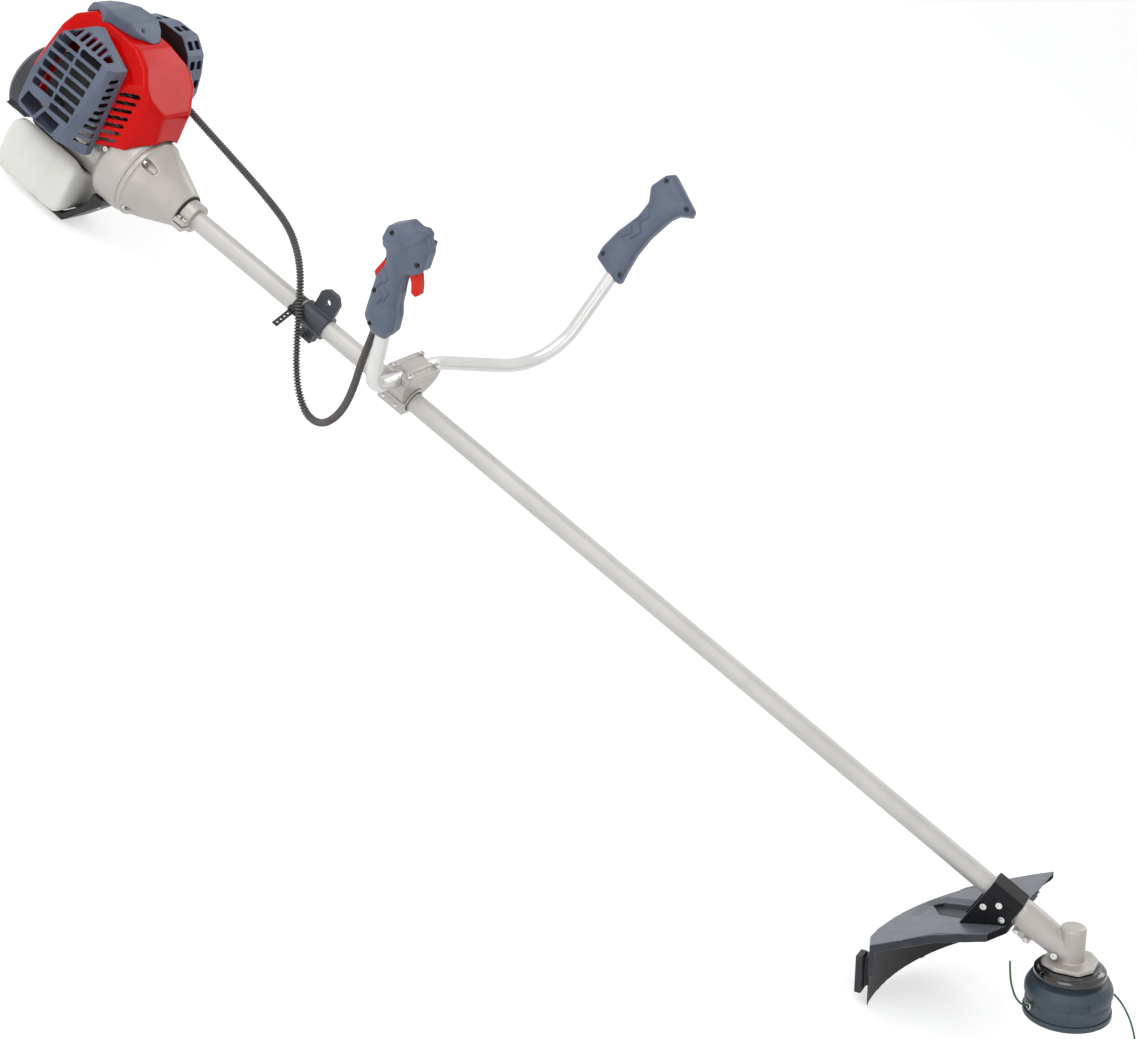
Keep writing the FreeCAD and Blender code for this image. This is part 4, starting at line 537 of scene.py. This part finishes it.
# %% Castings and mouldings
remould(1.2, 45, "engine_shroud", sharp=[((-120, -75, 10), (-20, -40, 110))])
remould(1.8, 90, "fuel_tank")
remould(1.1, 14, "top_cap")
remould(1.1, 5, "filter_cover")
remould(1.0, 4, "starter_case")
remould(1.0, 8, "tank_foot")
remould(0.7, 10, "gear_case")
remould(1.1, 6, "clutch_housing")
remould(1.1, 6, "fan_case")
remould(0.6, 5, "tube_clamp")
for mount_part in ("mount_cap", "mount_body", "mount_lower_clamp"):
    remould(0.7, 18, mount_part)
remould(0.7, 8, "harness_hanger")
for lever in ("throttle_trigger", "lockout_lever"):
    remould(0.5, 8, lever)

# %% [markdown]
# ## Lines and steps pressed into a moulding
# Grip patterns, parting lines and seams are cut into the mould, so they stand in the part's own
# surface. A groove is drawn as a line in the piece's directions. Each point of the skin that
# lies near the line, and faces the side it is drawn from, is moved in. A step moves both skins
# of a wall together, so a thin wall keeps its thickness.

# %% Grooves and steps
SIDEWAYS, UPWARDS = 1, 2


def groove(piece, set_, across, side, lines, width_mm, depth_mm):
    """Presses lines into the side of a piece that faces SIDEWAYS or UPWARDS (side 1) or the
    other way (side -1), or raises them where the depth is negative."""
    places, normals, own = own_points(piece, set_)
    facing = normals @ np.array(set_)[:3, across] * side
    flat = np.delete(own, across, axis=1)
    far = np.min([nearest(flat, line) for line in lines], axis=0)
    near = np.clip(1 - far / (width_mm / 2), 0, 1)
    near = near * near * (3 - 2 * near) * (facing > 0.25)
    move_points(piece, places - normals * (near * depth_mm * MM)[:, None])


def within(flat, outline):
    """Which points of a plan lie inside an outline."""
    corners = np.array(outline + outline[:1], float)
    inside = np.zeros(len(flat), bool)
    for (ax, ay), (bx, by) in zip(corners[:-1], corners[1:]):
        crosses = (ay > flat[:, 1]) != (by > flat[:, 1])
        inside ^= crosses & (flat[:, 0] < (bx - ax) * (flat[:, 1] - ay)
                             / (by - ay if by != ay else 1e-9) + ax)
    return inside


def step(piece, set_, across, outline, deep_mm, edge_mm):
    """Moves the part of a wall inside an outline SIDEWAYS or UPWARDS, with a sloping edge."""
    places, normals, own = own_points(piece, set_)
    flat = np.delete(own, across, axis=1)
    slope = np.clip(nearest(flat, outline + outline[:1]) / edge_mm, 0, 1) * within(flat, outline)
    move_points(piece, places + np.outer(slope * deep_mm * MM, np.array(set_)[:3, across]))


def refinish(piece, material, points):
    """Gives the faces on the marked points another material."""
    piece.data.materials.append(material)
    for polygon in piece.data.polygons:
        if points[polygon.vertices[0]]:
            polygon.material_index = len(piece.data.materials) - 1


# %% [markdown]
# The grips are two shells of nylon screwed together round the bar. They are rounded as one, far
# more than the castings, because a hand closes on them, and the parting line is then pressed in
# all round. A zig-zag of grooves on the flanks keeps a wet glove from sliding. A low ridge runs
# across the flanks of the throttle grip, under its head.

# %% Grips
throttle_outline = [(-12, 86), (9, 87), (18, 102), (18, 124), (14, 141), (14, 157), (13, 168),
                    (14, 188), (27, 194), (39, 205), (41, 233), (27, 259), (15, 256), (2, 260),
                    (-25, 241), (-30, 221), (-19, 207), (-16, 190), (-25, 168), (-28, 128),
                    (-29, 106)]
left_outline = [(-32, 169), (-4, 159), (14, 155), (19, 160), (16, 180), (14, 205), (16, 235),
                (25, 272), (32, 284), (49, 292), (47, 302), (-6, 329), (-18, 319), (-27, 295),
                (-16, 275), (-17, 250), (-29, 215), (-34, 185)]


def rounder(set_, outline, reach_mm, flat_mm):
    """A reshape that turns a flat-sided grip into a round one: near its outline the flanks come
    in towards the middle, down to half of flat_mm, the way a circle's edge does. Right at the
    outline a fifth of the thickness beyond flat_mm is left, which keeps an edge there."""
    def reshape(piece):
        places, normals, own = own_points(piece, set_)
        far = nearest(np.delete(own, SIDEWAYS, axis=1), outline + outline[:1])
        short = 1 - np.clip(far / reach_mm, 0, 1)
        keep = np.sqrt(1 - 0.96 * short * short)
        half = flat_mm / 2
        out = own[:, SIDEWAYS]
        thick = np.abs(out)
        new = np.where(thick > half, half + (thick - half) * keep, thick) * np.sign(out)
        move_points(piece, places + np.outer((new - out) * MM, np.array(set_)[:3, SIDEWAYS]))
    return reshape


throttle_grip = remould(0.9, 60, "throttle_grip_near", "throttle_grip_far",
                        reshape=rounder(right_set, throttle_outline, reach_mm=17.0, flat_mm=14.0))
left_grip = remould(0.9, 60, "left_grip_near", "left_grip_far",
                    reshape=rounder(left_set, left_outline, reach_mm=17.0, flat_mm=10.0))


def part_line(piece, set_, width_mm, depth_mm):
    """A groove all round a piece where its two halves meet, at y 0."""
    places, normals, own = own_points(piece, set_)
    near = np.clip(1 - np.abs(own[:, SIDEWAYS]) / (width_mm / 2), 0, 1)
    move_points(piece, places - normals * (near * depth_mm * MM)[:, None])


for grip, grip_set in ((throttle_grip, right_set), (left_grip, left_set)):
    part_line(grip, grip_set, width_mm=2.4, depth_mm=0.7)
throttle_zigzag = [[(-24, 178), (-10, 168), (-16, 156), (-4, 148), (-10, 134)],
                   [(-16, 186), (-2, 176), (-8, 164), (4, 156), (-2, 142)]]
left_zigzag = [[(-24, 262), (-12, 250), (-20, 238), (-8, 226), (-16, 212)],
               [(-10, 268), (0, 256), (-8, 244), (4, 232), (-4, 218)]]
throttle_ridge = [[(-26, 214), (2, 222), (30, 252)]]
for side in (-1, 1):
    groove(throttle_grip, right_set, SIDEWAYS, side, throttle_zigzag, width_mm=4.2, depth_mm=2.0)
    groove(left_grip, left_set, SIDEWAYS, side, left_zigzag, width_mm=4.2, depth_mm=2.0)
    groove(throttle_grip, right_set, SIDEWAYS, side, throttle_ridge, width_mm=10.0, depth_mm=-1.6)

# %% [markdown]
# The guard is one large thin moulding of polypropylene. Its top is stepped down behind the
# bracket, with a sunk panel in the step, and the step is pressed through the whole wall. Ribs
# run along its right-hand edge and its rim and stiffen them. The panel and the right-facing
# faces of that edge are painted darker as shade, and the inner face round the cutting head is
# painted near-black, as deeper shade. Faces are picked by where their points lie and which way they look.

# %% Guard
guard = remould(1.2, 4, "guard_shell", "guard_skirt")
sunk_top = [(-213, -10), (-184, 3), (-142, -8), (-98, -27), (-92, 60), (-140, 70), (-188, 78),
            (-212, 52)]
panel = [(-200, 52), (-187, 65), (-148, 59), (-120, 52), (-120, 4), (-148, 4), (-179, 14)]
edge_rib = [[(-216, -128), (-160, -71), (-90, -63), (-80, -44)]]
rim_rib = [[(-240, -70), (-240, -10), (-228, 48), (-200, 92), (-160, 134)]]
step(guard, head_set, UPWARDS, sunk_top, deep_mm=-4.0, edge_mm=9.0)
step(guard, head_set, UPWARDS, panel, deep_mm=-5.0, edge_mm=4.0)
groove(guard, head_set, UPWARDS, 1, edge_rib, width_mm=9.0, depth_mm=-1.8)
groove(guard, head_set, UPWARDS, 1, rim_rib, width_mm=6.0, depth_mm=-1.2)
places, normals, own = own_points(guard, head_set)
reach = np.linalg.norm(own[:, :2], axis=1)
own_normals = normals @ np.array(head_set)[:3, :3]
inward = -(own_normals[:, :2] * own[:, :2]).sum(axis=1) > 0.5 * reach
rightward = own_normals[:, 1] < -0.6
# Painted shade: the panel and the right-facing faces go darker, and the inner face round the head goes near-black.
refinish(guard, painted_shade_plastic, within(own[:, :2], panel) | rightward)
# The inward faces take the near-black plastic as painted shade.
refinish(guard, near_black_and_painted_shade, inward)
remould(0.8, 5, "guard_bracket")
remould(0.6, 4, "line_cutter")
print("guard", int(inward.sum()), "inward points")

# %% [markdown]
# The muffler grille is a hood of five flat faces, and nearly all of it is openings. Its solid
# shape is the model's, filled in, and opened at the back. A hood that is made from flat faces
# first and cut afterwards keeps its bars straight.

# %% Hood of the muffler grille
def prism(shape, corners):
    """Adds a prism with four corners at each end to a shape, in the tube's millimetres."""
    made = [shape.verts.new(tube_point(*corner)) for corner in corners]
    shape.faces.new(made[:4])
    shape.faces.new(list(reversed(made[4:])))
    for k in range(4):
        m = (k + 1) % 4
        shape.faces.new((made[k], made[k + 4], made[m + 4], made[m]))


hood = bmesh.new()
hood.from_mesh(nodes["muffler_grille"].data)
bmesh.ops.remove_doubles(hood, verts=hood.verts, dist=0.01 * MM)
hull = bmesh.ops.convex_hull(hood, input=hood.verts, use_existing_faces=False)
kept = {face for face in hull["geom"] if isinstance(face, bmesh.types.BMFace)}
bmesh.ops.delete(hood, geom=[face for face in hood.faces if face not in kept], context="FACES")
bmesh.ops.recalc_face_normals(hood, faces=hood.faces)
back = [face for face in hood.faces if face.normal.dot(left) > 0.8]
bmesh.ops.delete(hood, geom=back, context="FACES")
hood_mesh = bpy.data.meshes.new("grille_hood")
hood.to_mesh(hood_mesh)
hood.free()
print("hood", len(hood_mesh.polygons), "faces")

# %% [markdown]
# The openings are drawn as prisms that pass through the wall. The long slots stand in two
# columns, which lean back as they go down, and three large openings follow under them. Nine
# short slots go down the front side, and six go round the top.

# %% Openings of the grille
holes = bmesh.new()
row_gap, slot_high, lowest = 15.6, 10.4, 6
rear_column, front_column = (-156, -119), (-115, -79)
for row in range(lowest + 1):
    z = 133.0 - row_gap * row
    lean = 0.10 * (128.0 - z)
    for column in (rear_column, front_column):
        if row == lowest and column == rear_column:
            continue
        a, b = column[0] - lean, column[1] - lean
        flat = [(a, z), (a, z + slot_high), (b, z + slot_high), (b, z)]
        prism(holes, [(x, y, h) for y in (-106, -92) for x, h in flat])
for flat in ([(-168, 20), (-163, 41), (-131, 38), (-141, 15)],
             [(-136, 12), (-127, 33), (-98, 31), (-104, 11)],
             [(-150, -9), (-144, 5), (-108, 5), (-116, -9)]):
    prism(holes, [(x, y, h) for y in (-106, -88) for x, h in flat])
side_gap, side_high = 12.6, 6.5
for row in range(9):
    z = 122 - side_gap * row
    prism(holes, [(x, y, h) for y in (-89, -70)
                  for x, h in ((-78, z), (-78, z + side_high), (-40, z + side_high), (-40, z))])
for x, wide in ((-150, 15), (-129, 6), (-118, 6), (-107, 6), (-96, 6), (-85, 10)):
    prism(holes, [(x + dx, y, z) for y in (-92, -77)
                  for dx, z in ((0, 135), (0, 200), (wide, 200), (wide, 135))])
bmesh.ops.recalc_face_normals(holes, faces=holes.faces)
holes_mesh = bpy.data.meshes.new("grille_holes")
holes.to_mesh(holes_mesh)
holes.free()
print("openings", len(holes_mesh.polygons) // 6)

# %% [markdown]
# A Solidify modifier gives the hood its wall of three millimetres, a Boolean cuts the openings
# through it, and the result is rounded like the other mouldings.

# %% Cutting and rounding the grille
hood_piece = bpy.data.objects.new("grille_hood", hood_mesh)
holes_piece = bpy.data.objects.new("grille_holes", holes_mesh)
scene.collection.objects.link(hood_piece)
scene.collection.objects.link(holes_piece)
wall = hood_piece.modifiers.new("wall", "SOLIDIFY")
wall.thickness = 3.0 * MM
wall.offset = -1
wall.use_even_offset = True
cut = hood_piece.modifiers.new("holes", "BOOLEAN")
cut.object = holes_piece
cut.operation = "DIFFERENCE"
cut.solver = "EXACT"
cut.use_self = True
baked(hood_piece)
grille_mesh = hood_piece.data
bpy.data.objects.remove(hood_piece)
bpy.data.objects.remove(holes_piece)
moulded("muffler_grille_hood", grille_mesh, ["muffler_grille"], 0.8, 6)

# %% [markdown]
# ## Tubes and cords
# Anything long and bent is a tube along a route. A route is a smooth NURBS spline, and a plain
# cord is that curve with a thickness. A ribbed or ring-shaped tube is built from rings of points
# round the line, and their radius can rise and fall along it.

# %% Splines and ribbed tubes
def spline(name, points, thick_mm, set_=tube_set):
    """A smooth NURBS curve that is pulled towards points, in millimetres, and starts and ends
    at the first and last."""
    curve = bpy.data.curves.new(name, "CURVE")
    curve.dimensions = "3D"
    curve.bevel_depth = thick_mm / 2 * MM
    curve.bevel_resolution = 6
    curve.resolution_u = 24
    line = curve.splines.new("NURBS")
    line.points.add(len(points) - 1)
    for slot_point, point in zip(line.points, points):
        slot_point.co = (*(set_ @ (Vector(point) * MM)), 1)
    line.order_u = 3
    line.use_endpoint_u = True
    line.use_smooth = True
    made = bpy.data.objects.new(name, curve)
    scene.collection.objects.link(made)
    return made


def route_of(made):
    """The points along a curve's own line, and its length."""
    thick = made.data.bevel_depth
    made.data.bevel_depth = 0
    mesh = bpy.data.meshes.new_from_object(made)
    made.data.bevel_depth = thick
    points = [vertex.co.copy() for vertex in mesh.vertices]
    return points, sum((b - a).length for a, b in zip(points, points[1:]))


def hose(name, points, thick_mm, rib_mm, pitch_mm, sides=20, painted_shade_in_grooves=False):
    """A tube along points whose radius rises and falls once every pitch, by rib in diameter.
    The wave is drawn too high and cut off, which gives it flat tops. Its grooves can have a
    second, darker material, which is painted shade."""
    runs = [(b - a).length for a, b in zip(points, points[1:])]
    ends = [sum(runs[:i]) for i in range(len(runs) + 1)]
    gap = pitch_mm / 6 * MM
    count = int(ends[-1] / gap)
    rings, run = [], 0
    for i in range(count + 1):
        at = ends[-1] * i / count
        while run < len(runs) - 1 and ends[run + 1] < at:
            run += 1
        place = points[run].lerp(points[run + 1], (at - ends[run]) / runs[run])
        rings.append((place, (points[run + 1] - points[run]).normalized(), at))
    up = rings[0][1].orthogonal().normalized()
    corners, faces, waves = [], [], []
    for place, way, at in rings:
        up = (up - way * up.dot(way)).normalized()
        over = way.cross(up)
        wave = max(-1.0, min(1.0, 1.8 * math.sin(math.tau * at / (pitch_mm * MM))))
        waves.append(wave)
        radius = ((thick_mm - rib_mm) / 2 + rib_mm / 2 * wave) * MM
        for k in range(sides):
            turn = math.tau * k / sides
            corners.append(place + (up * math.cos(turn) + over * math.sin(turn)) * radius)
    for i in range(len(rings) - 1):
        for k in range(sides):
            m = (k + 1) % sides
            faces.append((i * sides + k, i * sides + m, (i + 1) * sides + m, (i + 1) * sides + k))
    faces.append(tuple(reversed(range(sides))))
    faces.append(tuple(range(len(corners) - sides, len(corners))))
    mesh = bpy.data.meshes.new(name)
    mesh.from_pydata(corners, [], faces)
    for polygon in mesh.polygons:
        polygon.use_smooth = True
        # Faces deep in a groove take the second material, which is painted shade.
        if painted_shade_in_grooves and waves[min(polygon.index // sides, len(waves) - 1)] < -0.6:
            polygon.material_index = 1
    made = bpy.data.objects.new(name, mesh)
    scene.collection.objects.link(made)
    return made


# %% [markdown]
# The line head is round, and latches in shallow pockets hold its two halves together. A joint
# line runs down beside each. Bright metal eyelets line the two holes that the line leaves by,
# because it would soon saw through the nylon.

# %% Line head
head = remould(0.7, 3, "head_shell")
remould(0.7, 3, "head_lower_cap")
remould(0.6, 6, "bump_knob")
remould(0.7, 4, "blade_cup")


def round_view(turn):
    """The head's directions turned about its shaft, so that -y looks at one side of it."""
    return head_set @ Matrix.Rotation(math.radians(turn), 4, "Z")


for turn in (15, 195):
    groove(head, round_view(turn), SIDEWAYS, -1, [[(0, -54), (0, -71)]], width_mm=2.0,
           depth_mm=0.9)
hole_out, hole_up, hole_radius, ring_points = 57.6, -65, 4.0, 24
for turn in (45, 225):
    angles = [math.tau * k / ring_points for k in range(ring_points + 1)]
    ring = [round_view(turn) @ (Vector((hole_out, hole_radius * math.cos(angle),
                                        hole_up + hole_radius * math.sin(angle))) * MM)
            for angle in angles]
    eyelet = hose("line_eyelet_" + str(turn), ring, 2.4, 0.0, 3.0, sides=12)
    eyelet.data.materials.append(steel)
    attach(eyelet, "head")
print("line head done")

# %% [markdown]
# ## Throttle conduit
# The cables run in a split, corrugated tube. Its line is one smooth spline along the same route
# as the model's tube. The wall is built round that line in rings, and their radius rises and
# falls once every four millimetres or so, which gives real ribs that show at the outline.

# %% Conduit
conduit_route = [
    (-44, 69, 94), (-9, 63, 91), (61, 56, 84), (147, 42, 78), (215, 24, 73), (256, 6, 57),
    (281, -8, 39), (301, -21, 18), (316, -27, -4), (332, -32, -29), (351, -38, -56),
    (376, -45, -82), (407, -54, -96), (437, -64, -84), (455, -76, -44), (457, -87, 4),
    (451, -97, 50), (446.6, -109.2, 124.9)]
conduit_line = spline("conduit_line", conduit_route, 10.0)
conduit_points, conduit_length = route_of(conduit_line)
bpy.data.objects.remove(conduit_line)
conduit = hose("conduit", conduit_points, thick_mm=11.0, rib_mm=2.4, pitch_mm=4.4,
               painted_shade_in_grooves=True)
conduit.data.materials.append(conduit_plastic)
# The black rubber darkens the grooves, as painted shade.
conduit.data.materials.append(rubber)
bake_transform(conduit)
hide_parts("throttle_conduit")
print("conduit", round(conduit_length, 3), "m")

# %% [markdown]
# Where the conduit ends at the engine, the throttle cable and the stop wire come out of it and
# go on by themselves behind the filter cover.

# %% Throttle cable and stop wire
for name, thick_mm, points in (
        ("throttle_cable", 2.4, [(-40, 68.6, 93.7), (-50, 71, 93), (-62, 72, 88), (-72, 68, 80)]),
        ("stop_wire", 1.8, [(-40, 69.4, 95.0), (-50, 74, 97), (-62, 76, 93), (-74, 71, 86)])):
    wire = spline(name, points, thick_mm)
    wire.data.materials.append(rubber)
    points, long = route_of(wire)
    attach(wire, "machine")
    print(name, round(long, 3), "m")

# %% [markdown]
# ## Cutting line
# Two ends of the nylon line leave the head through its eyelets. New line keeps the curl of the
# spool it came from, so neither end is straight.

# %% Line ends
near_line = [(-29.7, -29.7, -65), (-45.3, -45.3, -65), (-56, -49, -54), (-62, -49, -39),
             (-66, -47.5, -24), (-68, -45, -5)]
far_line = [(29.7, 29.7, -65), (45.3, 45.3, -65), (59, 43, -75), (69, 41, -88), (77, 39, -103),
            (82, 37.5, -118), (86, 36, -133), (88, 34, -148)]
for name, points in (("line_strand_near", near_line), ("line_strand_far", far_line)):
    end = spline(name + "_cord", points, 2.7, head_set)
    end.data.materials.append(line_nylon)
    points, long = route_of(end)
    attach(end, "head")
    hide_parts(name)
    print(name, round(long, 3), "m")

# %% [markdown]
# The starter rope runs from the reel to its handle. It is laid rope, so it is ribbed too. A real
# one comes off the reel.

# %% Starter rope
rope_low, rope_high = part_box("starter_rope")
rope_start = Vector(((rope_low.x + rope_high.x) / 2, rope_low.y, (rope_low.z + rope_high.z) / 2))
rope_end = Vector((rope_start.x, rope_high.y, rope_start.z))
rope = hose("starter_rope_laid", [rope_start.lerp(rope_end, i / 8) for i in range(9)],
            thick_mm=(rope_high.z - rope_low.z) / MM, rib_mm=0.5, pitch_mm=1.8, sides=12)
rope.data.materials.append(black_plastic)
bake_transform(rope)
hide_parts("starter_rope")
print("starter rope", round((rope_end - rope_start).length, 3), "m")
